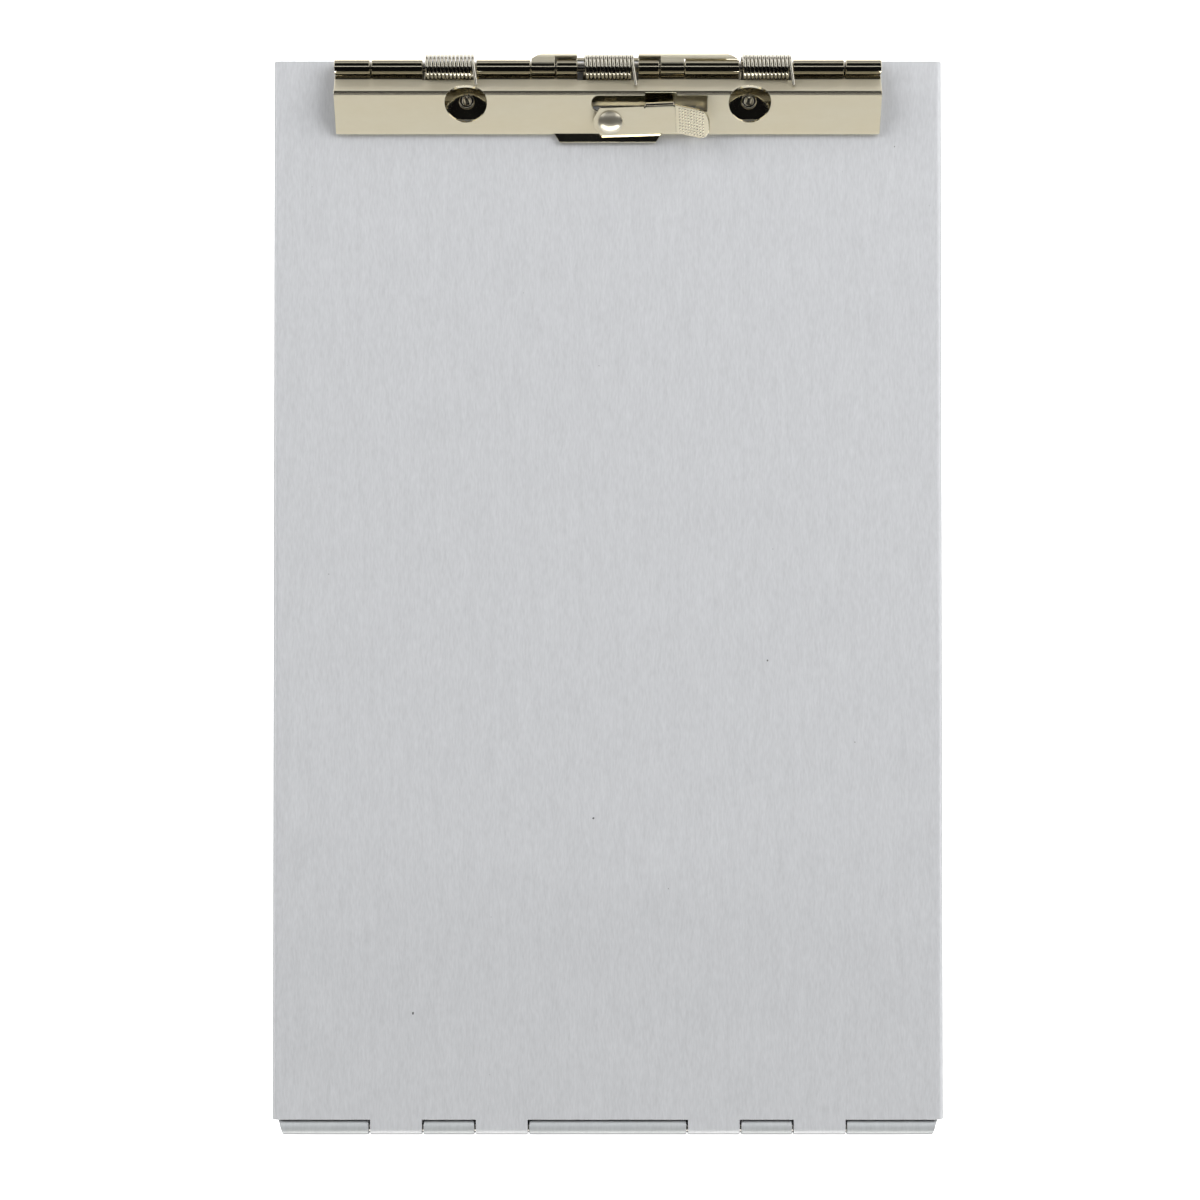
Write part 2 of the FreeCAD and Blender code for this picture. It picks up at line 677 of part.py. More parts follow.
def washer(centre, axis, outer_diameter, bore_radius, thickness):
    ring = Part.makeCylinder(outer_diameter / 2, thickness, centre, axis)
    return ring.cut(Part.makeCylinder(bore_radius, thickness + 2 * overrun, centre - axis * overrun, axis))


def make_lever_rivet():
    """A domed head, a shank through lever and jaw, and a flat tail inside."""
    base = 2 * lever_face_gap + lever_washer_thickness + clip_sheet + lever_face_gap
    under = clip_sheet + lever_face_gap + backing_washer_thickness + lever_face_gap
    head_half = lever_rivet_head / 2
    shank_half = lever_rivet_shank / 2
    tail_half = lever_tail_diameter / 2
    tail_end = -under - lever_tail_height
    dome_rise = lever_rivet_rise - lever_rivet_rim
    dome_radius = (head_half ** 2 + dome_rise ** 2) / (2 * dome_rise)
    half_spread = math.degrees(math.asin(head_half / dome_radius)) / 2
    top = base + lever_rivet_rise
    dome_middle = (dome_radius * sine(half_spread), top - dome_radius * (1 - cosine(half_spread)))
    corners = [(0, top), (0, tail_end), (tail_half, tail_end), (tail_half, -under), (shank_half, -under),
               (shank_half, base), (head_half, base), (head_half, base + lever_rivet_rim)]
    centre = lever_point(0, 0, 0)

    def place(radius, height):
        return centre + Vector(radius, 0, 0) + front_normal * height

    dome = Part.Arc(place(*corners[-1]), place(*dome_middle), place(*corners[0])).toShape()
    sides = Part.makePolygon([place(*corner) for corner in corners]).Edges
    section = Part.Face(Part.Wire(Part.__sortEdges__([dome] + sides)))
    return section.revolve(centre, front_normal, 360)


def make_clip_rivet(across):
    """A tubular rivet through the clip's base leaf and the plate, rolled over inside."""
    centre = Vector(across, plate_end - rivet_behind_edge, plate_top)
    up = Vector(0, 0, 1)
    shank_low = -box_sheet - rivet_washer_thickness - rivet_fit
    head = Part.makeCylinder(rivet_head_diameter / 2, rivet_head_height, centre + up * clip_sheet)
    head = fillet_where(head, rivet_head_height / 2,
                        lambda edge: edge.BoundBox.ZMin > plate_top + clip_sheet + rivet_head_height / 2)
    shank = Part.makeCylinder(rivet_shank_diameter / 2, clip_sheet - shank_low, centre + up * shank_low)
    tail = Part.makeCylinder(rivet_tail_diameter / 2, rivet_tail_height,
                             centre + up * (shank_low - rivet_tail_height))
    body = joined([head, shank, tail])
    bore = Part.makeCylinder(rivet_bore_diameter / 2, clip_sheet + rivet_head_height + 2 * overrun,
                             centre + up * shank_low)
    return body.cut(bore)


def make_rivet_washer(across):
    low = plate_top - box_sheet - rivet_washer_thickness
    centre = Vector(across, plate_end - rivet_behind_edge, low)
    return washer(centre, Vector(0, 0, 1), rivet_washer_diameter,
                  rivet_shank_diameter / 2 + rivet_fit, rivet_washer_thickness)


save(make_tray(), "tray")
save(make_writing_plate(), "writing_plate")
save(make_box_hinge_pin(), "box_hinge_pin")
save(make_clip_base(), "clip_base")
save(make_clip_jaw(), "clip_jaw")
save(make_clip_pin(), "clip_pin")
save(make_latch_hook(), "latch_hook")
save(make_lock_lever(), "lock_lever")
save(make_lever_rivet(), "lever_rivet")
save(washer(lever_point(0, 0, lever_face_gap), front_normal, lever_washer_diameter,
            lever_rivet_shank / 2 + pin_fit, lever_washer_thickness), "lever_washer")
save(washer(lever_point(0, 0, -clip_sheet - lever_face_gap - backing_washer_thickness), front_normal,
            backing_washer_diameter, lever_rivet_shank / 2 + pin_fit, backing_washer_thickness),
     "lever_backing_washer")
spring_starts = {"left": -outer_spring_zone[1] + outer_spring_start - outer_spring_zone[0],
                 "middle": middle_spring_start, "right": outer_spring_start}
for side, first_x in spring_starts.items():
    tube, wire_length, gap = make_spring(first_x)
    save(tube, "jaw_spring_" + side)
    expected = math.pi * (spring_wire / 2) ** 2 * wire_length
    print("spring", side, "volume over section times length", round(tube.Volume / expected, 4),
          "least gap", round(gap, 3))
for side, across in (("left", -rivet_spacing / 2), ("right", rivet_spacing / 2)):
    save(make_clip_rivet(across), "clip_rivet_" + side)
    save(make_rivet_washer(across), "clip_rivet_washer_" + side)
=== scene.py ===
# %% [markdown]
# # A storage clipboard box, one numpy surface at a time
#
# The object is folded sheet metal: a shallow aluminium tray, a writing plate hinged at its
# foot, and a sprung nickel-plated clip with a lock lever. Nearly every piece starts as a flat
# blank. This notebook draws each blank as a few outlines, folds it along a path of straight
# runs and bends, rounds its edges, and gives every corner of the mesh its exact normal, so
# that thin polished metal reflects its surroundings cleanly.
#
# Lengths in the cells are millimetres. Meshes are stored in metres, in the model's own frame:
# +X across the plate, +Y towards the clip, +Z up, origin under the middle of the tray.

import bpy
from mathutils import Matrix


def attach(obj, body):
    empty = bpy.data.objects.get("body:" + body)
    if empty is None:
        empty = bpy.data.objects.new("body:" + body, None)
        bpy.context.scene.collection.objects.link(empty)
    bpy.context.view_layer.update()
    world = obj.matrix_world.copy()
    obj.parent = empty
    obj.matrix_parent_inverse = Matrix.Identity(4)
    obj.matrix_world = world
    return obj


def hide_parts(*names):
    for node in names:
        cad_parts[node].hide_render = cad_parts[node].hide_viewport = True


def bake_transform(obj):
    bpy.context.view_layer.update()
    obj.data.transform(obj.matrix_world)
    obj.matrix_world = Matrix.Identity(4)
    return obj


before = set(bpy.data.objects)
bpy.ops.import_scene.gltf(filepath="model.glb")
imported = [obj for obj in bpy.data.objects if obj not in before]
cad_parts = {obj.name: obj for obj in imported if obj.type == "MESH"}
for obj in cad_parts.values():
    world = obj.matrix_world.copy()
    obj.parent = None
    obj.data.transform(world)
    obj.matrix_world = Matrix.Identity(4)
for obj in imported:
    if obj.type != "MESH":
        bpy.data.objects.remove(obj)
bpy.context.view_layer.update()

import math

import bpy
import numpy as np
from mathutils import Vector
from mathutils.geometry import delaunay_2d_cdt

MM = 0.001

# %% [markdown]
# ## Sizes
#
# The same named sizes as the construction model, so that each visible piece fits the frame.

# %% Sizes of the box and the clip
box_width, box_sheet = 228.6, 1.0
plate_top, plate_end = 14.7, 180.7
flange_depth, plate_bend, tray_bend = 8.0, 2.0, 1.6
tray_half, tray_end, tray_foot, tray_wall_top = 112.4, 180.3, -186.1, 13.4
tray_corner_taper = 2.0
hinge_y, hinge_z, hinge_roll = -183.65, 12.25, 290.0
hinge_middle = 1.95
hinge_wall_top = 9.45
fingers = ((27.3, 44.9), (63.3, 80.9))
side_knuckle, centre_knuckle, end_knuckle = (45.5, 62.7), 26.7, 81.5

clip_sheet, clip_half = 1.15, 92.9
clip_y, clip_z, clip_roll, clip_middle = 177.5, 19.6, 298.0, 2.225
jaw_climb, jaw_fall, ridge_bend = 35.0, 33.5, 1.075
spring_gap, spring_bay = 10.4, (44.6, 63.0)
rivet_x, rivet_y, rivet_bore, pivot_bore = 48.2, 166.5, 2.05, 1.65

ridge_top = np.array([0.0, 167.9075, 24.3014])
fall_angle = math.radians(jaw_fall)
front_normal = np.array([0.0, -math.sin(fall_angle), math.cos(fall_angle)])
front_up = np.array([0.0, math.cos(fall_angle), math.sin(fall_angle)])
across, upright = np.array([1.0, 0.0, 0.0]), np.array([0.0, 0.0, 1.0])
pivot_x, pivot_below = 0.85, 10.05
lever_pivot = ridge_top + pivot_x * across - pivot_below * front_up
lever_turn = math.radians(2.5)
lever_along = math.cos(lever_turn) * across + math.sin(lever_turn) * front_up
lever_up = math.cos(lever_turn) * front_up - math.sin(lever_turn) * across
lever_gap, lever_tail, lever_strap = 0.8, 5.7, 27.4
pad_bend, pad_angle, pad_run, pad_skew = 3.0, 20.0, 11.55, 0.12

# %% [markdown]
# ## Walking along a bent sheet
#
# A path is a chain of steps with constant curvature $k$: zero on a run, $\pm 1/r$ on a bend.
# From a point with heading $a$, a distance $d$ along the step gives
#
# $$h = a + k d, \qquad
#   \Delta = \left(\frac{\sin h - \sin a}{k},\; \frac{\cos a - \cos h}{k}\right)$$
#
# and $\Delta = d\,(\cos a, \sin a)$ when $k = 0$.

# %% Paths
def advance(point, angle, curvature, distance):
    """The point and heading after a distance d on a step of curvature k (formula above)."""
    turned = angle + curvature * distance
    if curvature:
        return (point[0] + (np.sin(turned) - np.sin(angle)) / curvature,
                point[1] + (np.cos(angle) - np.cos(turned)) / curvature, turned)
    return (point[0] + distance * np.cos(angle), point[1] + distance * np.sin(angle),
            turned + 0 * distance)


def trace(start, heading, moves):
    """Turn ("run", length) and ("bend", radius, degrees) moves into steps of one curvature each."""
    steps, point, angle, travelled = [], start, math.radians(heading), 0.0
    for move in moves:
        turn = math.radians(move[2]) if move[0] == "bend" else 0.0
        length = move[1] * abs(turn) if turn else move[1]
        curvature = turn / length if turn else 0.0
        steps.append((travelled, length, curvature, point, angle))
        u, v, angle = advance(point, angle, curvature, length)
        point, travelled = (float(u), float(v)), travelled + length
        angle = float(angle)
    return steps


def walk(steps, distance):
    """u(s), v(s) and heading h(s) for an array of distances s along a traced path."""
    distance = np.asarray(distance, float)
    u, v, heading = np.zeros((3,) + distance.shape)
    for begin, length, curvature, point, angle in steps:
        here = distance >= begin - 1e-9 if begin else np.ones(distance.shape, bool)
        u[here], v[here], heading[here] = advance(point, angle, curvature, distance[here] - begin)
    return u, v, heading


def bend_lines(steps, axis, spacing=9.0, shift=0.0, sign=1, low=-1e3, high=1e3):
    """Where a blank needs fold lines: the ends of each bend and every few degrees inside it.

    Each line is (axis, value, low, high), where low and high limit the other coordinate.
    """
    lines = []
    for begin, length, curvature, point, angle in steps:
        if curvature:
            count = max(2, math.ceil(math.degrees(length * abs(curvature)) / spacing))
            lines += [(axis, shift + sign * value, low, high)
                      for value in np.linspace(begin, begin + length, count + 1)]
    return lines


# %% [markdown]
# ## Outlines with rounded corners
#
# A corner that turns by $\varphi$ gets an arc of radius $r$ that begins $r\tan(\varphi/2)$
# before it. Outer outlines run anticlockwise and holes clockwise, so the metal is always on
# the left.

# %% Outlines
def rounded(corners, radii, steps=6):
    """Replace each corner p by the arc p - a·t ... p + b·t, with t = r tan(phi / 2)."""
    corners = np.asarray(corners, float)
    radii = np.broadcast_to(np.asarray(radii, float), len(corners))
    before = corners - np.roll(corners, 1, axis=0)
    after = np.roll(corners, -1, axis=0) - corners
    before /= np.linalg.norm(before, axis=1)[:, None]
    after /= np.linalg.norm(after, axis=1)[:, None]
    turn = np.arctan2(before[:, 0] * after[:, 1] - before[:, 1] * after[:, 0],
                      np.sum(before * after, axis=1))
    points = []
    for corner, inward, outward, phi, radius in zip(corners, before, after, turn, radii):
        if radius <= 0 or abs(phi) < 1e-6:
            points.append(corner[None])
            continue
        start = corner - inward * radius * math.tan(abs(phi) / 2)
        centre = start + np.sign(phi) * radius * np.array([-inward[1], inward[0]])
        angles = np.sign(phi) * np.linspace(0, abs(phi), steps + 1)
        arm = start - centre
        points.append(centre + np.stack([arm[0] * np.cos(angles) - arm[1] * np.sin(angles),
                                         arm[0] * np.sin(angles) + arm[1] * np.cos(angles)], 1))
    return np.concatenate(points)


def hole(centre, radius, count=64):
    """A clockwise circle (c + r cos t, c - r sin t)."""
    angles = np.linspace(0, 2 * math.pi, count, endpoint=False)
    return np.stack([centre[0] + radius * np.cos(angles), centre[1] - radius * np.sin(angles)], 1)


def skyline(zones, default, half):
    """The left-to-right edge of a blank with notches: each zone (x0, x1) reaches its own depth.

    The edge runs from -half to half. Outside all zones it lies at the default depth.
    """
    marks = sorted({-half, half} | {x for zone in zones for x in zone[:2]})
    points = []
    for left, right in zip(marks[:-1], marks[1:]):
        middle = (left + right) / 2
        depth = default
        for x0, x1, reach in zones:
            if x0 < middle < x1:
                depth = reach
        if points and abs(points[-1][1] - depth) < 1e-9:
            points[-1] = (right, depth)
        else:
            points += [(left, depth), (right, depth)]
    return points


def both_sides(zones):
    """Zones on the right and their mirror images on the left."""
    return [zone for x0, x1, *rest in zones for zone in ((x0, x1, *rest), (-x1, -x0, *rest))]


# %% [markdown]
# ## From a blank to a folded sheet
#
# The blank's inner region is cut into triangles whose corners all lie on its outlines, with
# extra cuts along the fold lines. Around each outline runs a rim whose section is a quarter
# circle of radius $r$ on each face. At angle $a$ it is drawn in by $r(1-\sin a)$ and lies at
# the height
#
# $$w = \tfrac{t}{2} - r(1-\cos a)$$
#
# off the middle of a sheet of thickness $t$. Its normal is $n\cos a + m\sin a$, where $n$ is
# the sheet's normal and $m$ points out of the edge. Flat faces keep exactly the normal $n$,
# which keeps mirror reflections straight.

# %% Meshes with exact corner normals
def make_mesh(name, vertices, faces, corner_normals):
    """A mesh object in metres from points in mm, faces of one array each and corner normals."""
    mesh = bpy.data.meshes.new(name)
    sizes = np.concatenate([np.full(len(group), group.shape[1]) for group in faces])
    loops = np.concatenate([group.ravel() for group in faces])
    mesh.vertices.add(len(vertices))
    mesh.vertices.foreach_set("co", (vertices * MM).astype(np.float32).ravel())
    mesh.loops.add(len(loops))
    mesh.loops.foreach_set("vertex_index", loops.astype(np.int32))
    mesh.polygons.add(len(sizes))
    starts = np.concatenate([[0], np.cumsum(sizes)[:-1]])
    mesh.polygons.foreach_set("loop_start", starts.astype(np.int32))
    mesh.polygons.foreach_set("loop_total", sizes.astype(np.int32))
    mesh.update(calc_edges=True)
    mesh.polygons.foreach_set("use_smooth", np.ones(len(sizes), bool))
    normals = np.concatenate([group.reshape(-1, 3) for group in corner_normals])
    normals /= np.maximum(np.linalg.norm(normals, axis=1), 1e-9)[:, None]
    mesh.normals_split_custom_set(normals.tolist())
    obj = bpy.data.objects.new(name, mesh)
    bpy.context.scene.collection.objects.link(obj)
    return obj


def inside(points, loops):
    """Even-odd test of many points against closed outlines."""
    odd = np.zeros(len(points), bool)
    for loop in loops:
        x0, y0 = loop.T
        x1, y1 = np.roll(loop, -1, axis=0).T
        px, py = points[:, :1], points[:, 1:]
        spans = (y0 > py) != (y1 > py)
        rise = np.where(y1 == y0, 1.0, y1 - y0)
        odd ^= (np.sum(spans & (px < x0 + (py - y0) / rise * (x1 - x0)), axis=1) % 2).astype(bool)
    return odd


def following_of(loops):
    """For every point of all the outlines in one list, the index of the next round its own."""
    starts = np.cumsum([0] + [len(loop) for loop in loops])
    return np.concatenate([start + (np.arange(len(loop)) + 1) % len(loop)
                           for start, loop in zip(starts, loops)])


def edge_normals(loop):
    """For each edge of an outline, the unit vector to the right of its direction."""
    along = np.roll(loop, -1, axis=0) - loop
    along /= np.linalg.norm(along, axis=1)[:, None]
    return np.stack([along[:, 1], -along[:, 0]], 1)


def split_at(inner, outer, axis, value, low, high):
    """Insert a point where the inner outline crosses a fold line, and its partner on the outer."""
    offset = inner[:, axis] - value
    beyond = (inner[:, 1 - axis] < low) | (inner[:, 1 - axis] > high)
    offset[np.abs(offset) < 1e-6] = 0.0
    following = np.roll(offset, -1)
    crossing = np.nonzero((offset * following < 0) & ~beyond)[0]
    share = (offset[crossing] / (offset[crossing] - following[crossing]))[:, None]
    pairs = []
    for loop in (inner, outer):
        added = loop[crossing] + share * (np.roll(loop, -1, axis=0)[crossing] - loop[crossing])
        pairs.append(np.insert(loop, crossing + 1, added, axis=0))
    return pairs


def blank_mesh(loops, lines, edge):
    """Triangulate a blank whose outlines are drawn in by an edge radius.

    Each corner moves in by edge·(a + b) / (1 + a·b), with a and b the normals beside it. The
    inner outlines are rounded to single precision, which is what the triangulation works in.
    """
    inners, outers = [], []
    for loop in loops:
        loop = loop[np.linalg.norm(loop - np.roll(loop, 1, axis=0), axis=1) > 1e-6]
        right = edge_normals(loop)
        left = np.roll(right, 1, axis=0)
        shift = (left + right) / (1 + np.sum(left * right, axis=1))[:, None]
        inner, outer = loop - edge * shift, loop
        for axis, value, low, high in lines:
            inner, outer = split_at(inner, outer, axis, value, low, high)
        inners.append(inner.astype(np.float32).astype(float))
        outers.append(outer)
    points = np.concatenate(inners)
    edges = np.stack([np.arange(len(points)), following_of(inners)], 1).tolist()
    for axis, value, low, high in lines:
        beside = points[:, 1 - axis]
        near = np.abs(points[:, axis] - value) < 1e-5
        on_line = np.nonzero(near & (beside >= low) & (beside <= high))[0]
        on_line = on_line[np.argsort(points[on_line, 1 - axis])]
        spans = np.stack([on_line[:-1], on_line[1:]], 1)
        edges += spans[inside(points[spans].mean(axis=1), inners)].tolist()
    result = delaunay_2d_cdt(points.tolist(), edges, [], 0, 1e-7)
    origin = np.array([source[0] if source else -1 for source in result[3]])
    triangles = np.array(result[2])
    placed = np.array([tuple(vertex) for vertex in result[0]])
    keep = inside(placed[triangles].mean(axis=1), inners) & np.all(origin[triangles] >= 0, axis=1)
    return inners, outers, origin[triangles[keep]]


def sheet(name, loops, lines, place, thickness, edge=0.15, rings=3):
    """A folded sheet. place(blank) gives middle points, the two blank directions and normals."""
    inners, outers, triangles = blank_mesh(loops, lines, edge)
    inner, outer = np.concatenate(inners), np.concatenate(outers)
    count = len(inner)
    following = following_of(outers)
    right = np.concatenate([edge_normals(loop) for loop in outers])
    before = np.empty_like(right)
    before[following] = right
    smooth = np.sum(before * right, axis=1) > math.cos(math.radians(32))
    blended = before + right
    at_start = np.where(smooth[:, None], blended, right)
    at_end = np.where(smooth[following][:, None], blended[following], right)
    angles = np.linspace(0, math.pi / 2, rings + 1)
    layers = [(1, angle) for angle in angles] + [(-1, angle) for angle in angles[::-1]]
    vertices, frames = [], []
    for side, angle in layers:
        flat = outer + (inner - outer) * (1 - math.sin(angle))
        middle, first, second, normal = place(flat)
        vertices.append(middle + side * normal * (thickness / 2 - edge * (1 - math.cos(angle))))
        frames.append((first, second, side * normal, angle))
    faces = [triangles, triangles[:, ::-1] + (len(layers) - 1) * count]
    normals = [frames[0][2][triangles], frames[-1][2][triangles[:, ::-1]]]
    lower_index = np.arange(count)
    for index in range(len(layers) - 1):
        quad, corner = [], []
        for layer, point, outward in ((index + 1, lower_index, at_start),
                                      (index + 1, following, at_end),
                                      (index, following, at_end), (index, lower_index, at_start)):
            first, second, normal, angle = frames[layer]
            out = outward / np.linalg.norm(outward, axis=1)[:, None]
            quad.append(point + layer * count)
            corner.append(math.cos(angle) * normal[point] + math.sin(angle) *
                          (out[:, :1] * first[point] + out[:, 1:] * second[point]))
        faces.append(np.stack(quad, 1))
        normals.append(np.stack(corner, 1))
    return make_mesh(name, np.concatenate(vertices), faces, normals)


def fold_across(steps):
    """place() for a blank (x, s) whose path s lies in the YZ plane: (x, u(s), v(s))."""
    def place(blank):
        u, v, heading = walk(steps, blank[:, 1])
        zero = np.zeros_like(u)
        first = np.stack([zero + 1, zero, zero], 1)
        second = np.stack([zero, np.cos(heading), np.sin(heading)], 1)
        return np.stack([blank[:, 0], u, v], 1), first, second, np.cross(first, second)
    return place


# %% [markdown]
# ## Turned pieces and wires
#
# A turned piece sweeps a profile $(r_k, h_k)$ about an axis:
# $P(\theta, k) = c + h_k A + r_k(\cos\theta\,U + \sin\theta\,V)$. A wire sweeps a circle
# along a line with tangent $T$, using a given side direction $R$ and $B = T\times R$.

# %% Turned pieces and wires
def grid_mesh(name, points, normals, close_around):
    """Quads over a (rows, columns, 3) grid, with normals for the start and end of each row step."""
    rows, columns = points.shape[:2]
    index = np.arange(rows * columns).reshape(rows, columns)
    if close_around:
        index = np.concatenate([index, index[:, :1]], axis=1)
        normals = np.concatenate([normals, normals[:, :, :1]], axis=2)
    quads = np.stack([index[:-1, :-1], index[:-1, 1:], index[1:, 1:], index[1:, :-1]], -1)
    quads = quads.reshape(-1, 4)
    low, high = normals
    corner = np.stack([low[:, :-1], low[:, 1:], high[:, 1:], high[:, :-1]], 2).reshape(-1, 4, 3)
    return make_mesh(name, points.reshape(-1, 3), [quads], [corner])


def lathe(name, profile, centre, axis, side, count=64, smooth_degrees=32):
    """P(theta, k) = c + h A + r (cos theta U + sin theta V), the metal on the profile's left."""
    profile = np.asarray(profile, float)
    axis, side = np.asarray(axis, float), np.asarray(side, float)
    other = np.cross(axis, side)
    along = np.diff(profile, axis=0)
    along /= np.linalg.norm(along, axis=1)[:, None]
    outward = np.stack([along[:, 1], -along[:, 0]], 1)
    alike = np.sum(outward[:-1] * outward[1:], axis=1) > math.cos(math.radians(smooth_degrees))
    low, high = outward.copy(), outward.copy()
    low[1:][alike] += outward[:-1][alike]
    high[:-1][alike] += outward[1:][alike]
    theta = np.linspace(0, 2 * math.pi, count, endpoint=False)
    spoke = np.cos(theta)[:, None] * side + np.sin(theta)[:, None] * other
    radius = np.maximum(profile[:, 0], 1e-4)
    points = centre + profile[:, 1, None, None] * axis + radius[:, None, None] * spoke
    normals = np.stack([pair[:, 0, None, None] * spoke + pair[:, 1, None, None] * axis
                        for pair in (low, high)])
    return grid_mesh(name, points, normals, True)


def wire(name, line, sides, radius, count=14):
    """A round wire P(k, t) = L_k + r (cos t R_k + sin t B_k) with flat, slightly drawn-in ends."""
    tangent = np.gradient(line, axis=0)
    tangent /= np.linalg.norm(tangent, axis=1)[:, None]
    sides = sides - np.sum(sides * tangent, axis=1)[:, None] * tangent
    sides /= np.linalg.norm(sides, axis=1)[:, None]
    other = np.cross(tangent, sides)
    angles = np.linspace(0, 2 * math.pi, count, endpoint=False)
    cos, sin = np.cos(angles)[None, :, None], np.sin(angles)[None, :, None]
    ring = cos * sides[:, None] + sin * other[:, None]
    body = line[:, None] + radius * ring
    tips = []
    for end, sign in ((0, -1.0), (-1, 1.0)):
        cap = [line[end] + sign * tangent[end] * reach * radius + share * radius * ring[end]
               for reach, share in ((0.0, 0.8), (0.12, 0.55), (0.15, 0.001))]
        tips.append((cap, [share * ring[end] + sign * tangent[end] for share in (0.5, 0.1, 0.0)]))
    points = np.concatenate([np.stack(tips[0][0][::-1]), body, np.stack(tips[1][0])])
    normals = np.concatenate([np.stack(tips[0][1][::-1]), ring, np.stack(tips[1][1])])
    return grid_mesh(name, points, np.stack([normals[:-1], normals[1:]]), True)


# %% [markdown]
# ## Finishing a piece
#
# Each piece rides on the body that carries it, takes its finish from one material slot and
# stands for its construction node.

# %% Placing a piece
materials = {}


def finish_piece(obj, material, body, slot, *nodes):
    """Give a piece its material and its body, if any, and hide the nodes it stands for. Slot is not
    used.
    """
    obj.data.materials.append(materials[material])
    if body:
        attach(obj, body)
    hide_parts(*nodes)
    print(f"{obj.name}: {len(obj.data.polygons)} faces in {material}")
    return obj


# %% [markdown]
# ## Materials
#
# The plate is drawn aluminium with a fine upright grain that wanders a little. The clip is
# nickel plate over steel, nearly a mirror, with faint clouding in its polish. The patterns are
# noises stretched over object coordinates, so they stay fixed to the metal and need no image.
#
# What several materials use is a node group: the grain, the clouding, and a zone mask that is 1
# inside a slab of space. Where slabs meet on one face of a leaf, that face is duller than its
# edges and bends, as on plating that the polishing wheel reached less.

# %% Node helpers
def feed(tree, socket, value):
    """Link another socket, or set a number, vector or colour."""
    if isinstance(value, bpy.types.NodeSocket):
        tree.links.new(value, socket)
    else:
        socket.default_value = value


def node(tree, kind, **values):
    """Add a node and set its properties, or its inputs where a name isn't a property."""
    made = tree.nodes.new(kind)
    for key, value in values.items():
        if hasattr(made, key):
            setattr(made, key, value)
        else:
            feed(tree, made.inputs[key.replace("_", " ")], value)
    return made


def math_of(tree, operation, *values, kind="ShaderNodeMath"):
    """A Math or Vector Math node fed in order. MULTIPLY_ADD is first * second + third."""
    made = node(tree, kind, operation=operation)
    for socket, value in zip(made.inputs, values):
        feed(tree, socket, value)
    return made.outputs["Value" if operation == "DOT_PRODUCT" else 0]


def noise_of(tree, vector, scale, stretch, detail=2.0, roughness=0.5):
    """Noise over coordinates that are stretched by a factor on each axis."""
    mapping = node(tree, "ShaderNodeMapping", Vector=vector, Scale=stretch)
    made = node(tree, "ShaderNodeTexNoise", Vector=mapping.outputs["Vector"], Scale=scale,
                Detail=detail, Roughness=roughness)
    return made.outputs["Fac"]


def mix_of(tree, factor, first, second):
    """Linear mix of two colours by a factor."""
    made = node(tree, "ShaderNodeMix", data_type="RGBA", Factor=factor)
    feed(tree, made.inputs[6], first)
    feed(tree, made.inputs[7], second)
    return made.outputs[2]


def range_of(tree, value, low, high, to_low, to_high):
    """Map a value from one range to another, held at its ends."""
    return node(tree, "ShaderNodeMapRange", Value=value, From_Min=low, From_Max=high,
                To_Min=to_low, To_Max=to_high).outputs["Result"]


# %% Shared effects
def new_group(name, inputs, outputs):
    """A node group with named sockets, and the sockets inside it that they reach."""
    group = bpy.data.node_groups.new(name, "ShaderNodeTree")
    for direction, sockets in (("INPUT", inputs), ("OUTPUT", outputs)):
        for label, kind in sockets:
            group.interface.new_socket(label, in_out=direction, socket_type="NodeSocket" + kind)
    given = node(group, "NodeGroupInput").outputs if inputs else None
    return group, given, node(group, "NodeGroupOutput").inputs


def make_grain():
    """Upright drawn grain: a tone from 0 to 1, a fine height and a mask of small dark specks."""
    group, _, out = new_group("drawn_grain", [], [("Tone", "Float"), ("Height", "Float"),
                                                  ("Speck", "Float")])
    where = node(group, "ShaderNodeTexCoord").outputs["Object"]
    wander = noise_of(group, where, 60.0, (1.0, 1.0, 1.0), 1.0)
    bent = math_of(group, "MULTIPLY_ADD", wander, (0.0012, 0.0, 0.0), where,
                   kind="ShaderNodeVectorMath")
    fine = noise_of(group, bent, 1.0, (1700.0, 330.0, 900.0), 2.0, 0.6)
    broad = noise_of(group, bent, 1.0, (420.0, 60.0, 260.0))
    height = math_of(group, "MULTIPLY_ADD", fine, 0.7, math_of(group, "MULTIPLY", broad, 0.3))
    specks = noise_of(group, where, 1.0, (505.0, 505.0, 505.0), 0.0)
    feed(group, out["Tone"], range_of(group, height, 0.3, 0.7, 0.0, 1.0))
    feed(group, out["Height"], height)
    feed(group, out["Speck"], range_of(group, specks, 0.93, 0.95, 0.0, 1.0))
    return group


def make_clouding():
    """Faint clouding of a plated surface, as a broad tone from 0 to 1."""
    group, _, out = new_group("plating_clouds", [], [("Tone", "Float")])
    where = node(group, "ShaderNodeTexCoord").outputs["Object"]
    broad = noise_of(group, where, 95.0, (0.45, 1.0, 1.0), 4.0, 0.6)
    feed(group, out["Tone"], range_of(group, broad, 0.3, 0.72, 0.0, 1.0))
    return group


def make_zone():
    """A mask: 1 where |P . Direction - Middle| < Reach, falling to 0 over Fade, in metres."""
    group, given, out = new_group("zone_mask", [("Direction", "Vector"), ("Middle", "Float"),
                                                ("Reach", "Float"), ("Fade", "Float")],
                                  [("Mask", "Float")])
    where = node(group, "ShaderNodeTexCoord").outputs["Object"]
    along = math_of(group, "DOT_PRODUCT", where, given["Direction"], kind="ShaderNodeVectorMath")
    off = math_of(group, "ABSOLUTE", math_of(group, "SUBTRACT", along, given["Middle"]))
    end = math_of(group, "ADD", given["Reach"], given["Fade"])
    feed(group, out["Mask"], range_of(group, off, given["Reach"], end, 1.0, 0.0))
    return group


grain, clouds, zone = make_grain(), make_clouding(), make_zone()


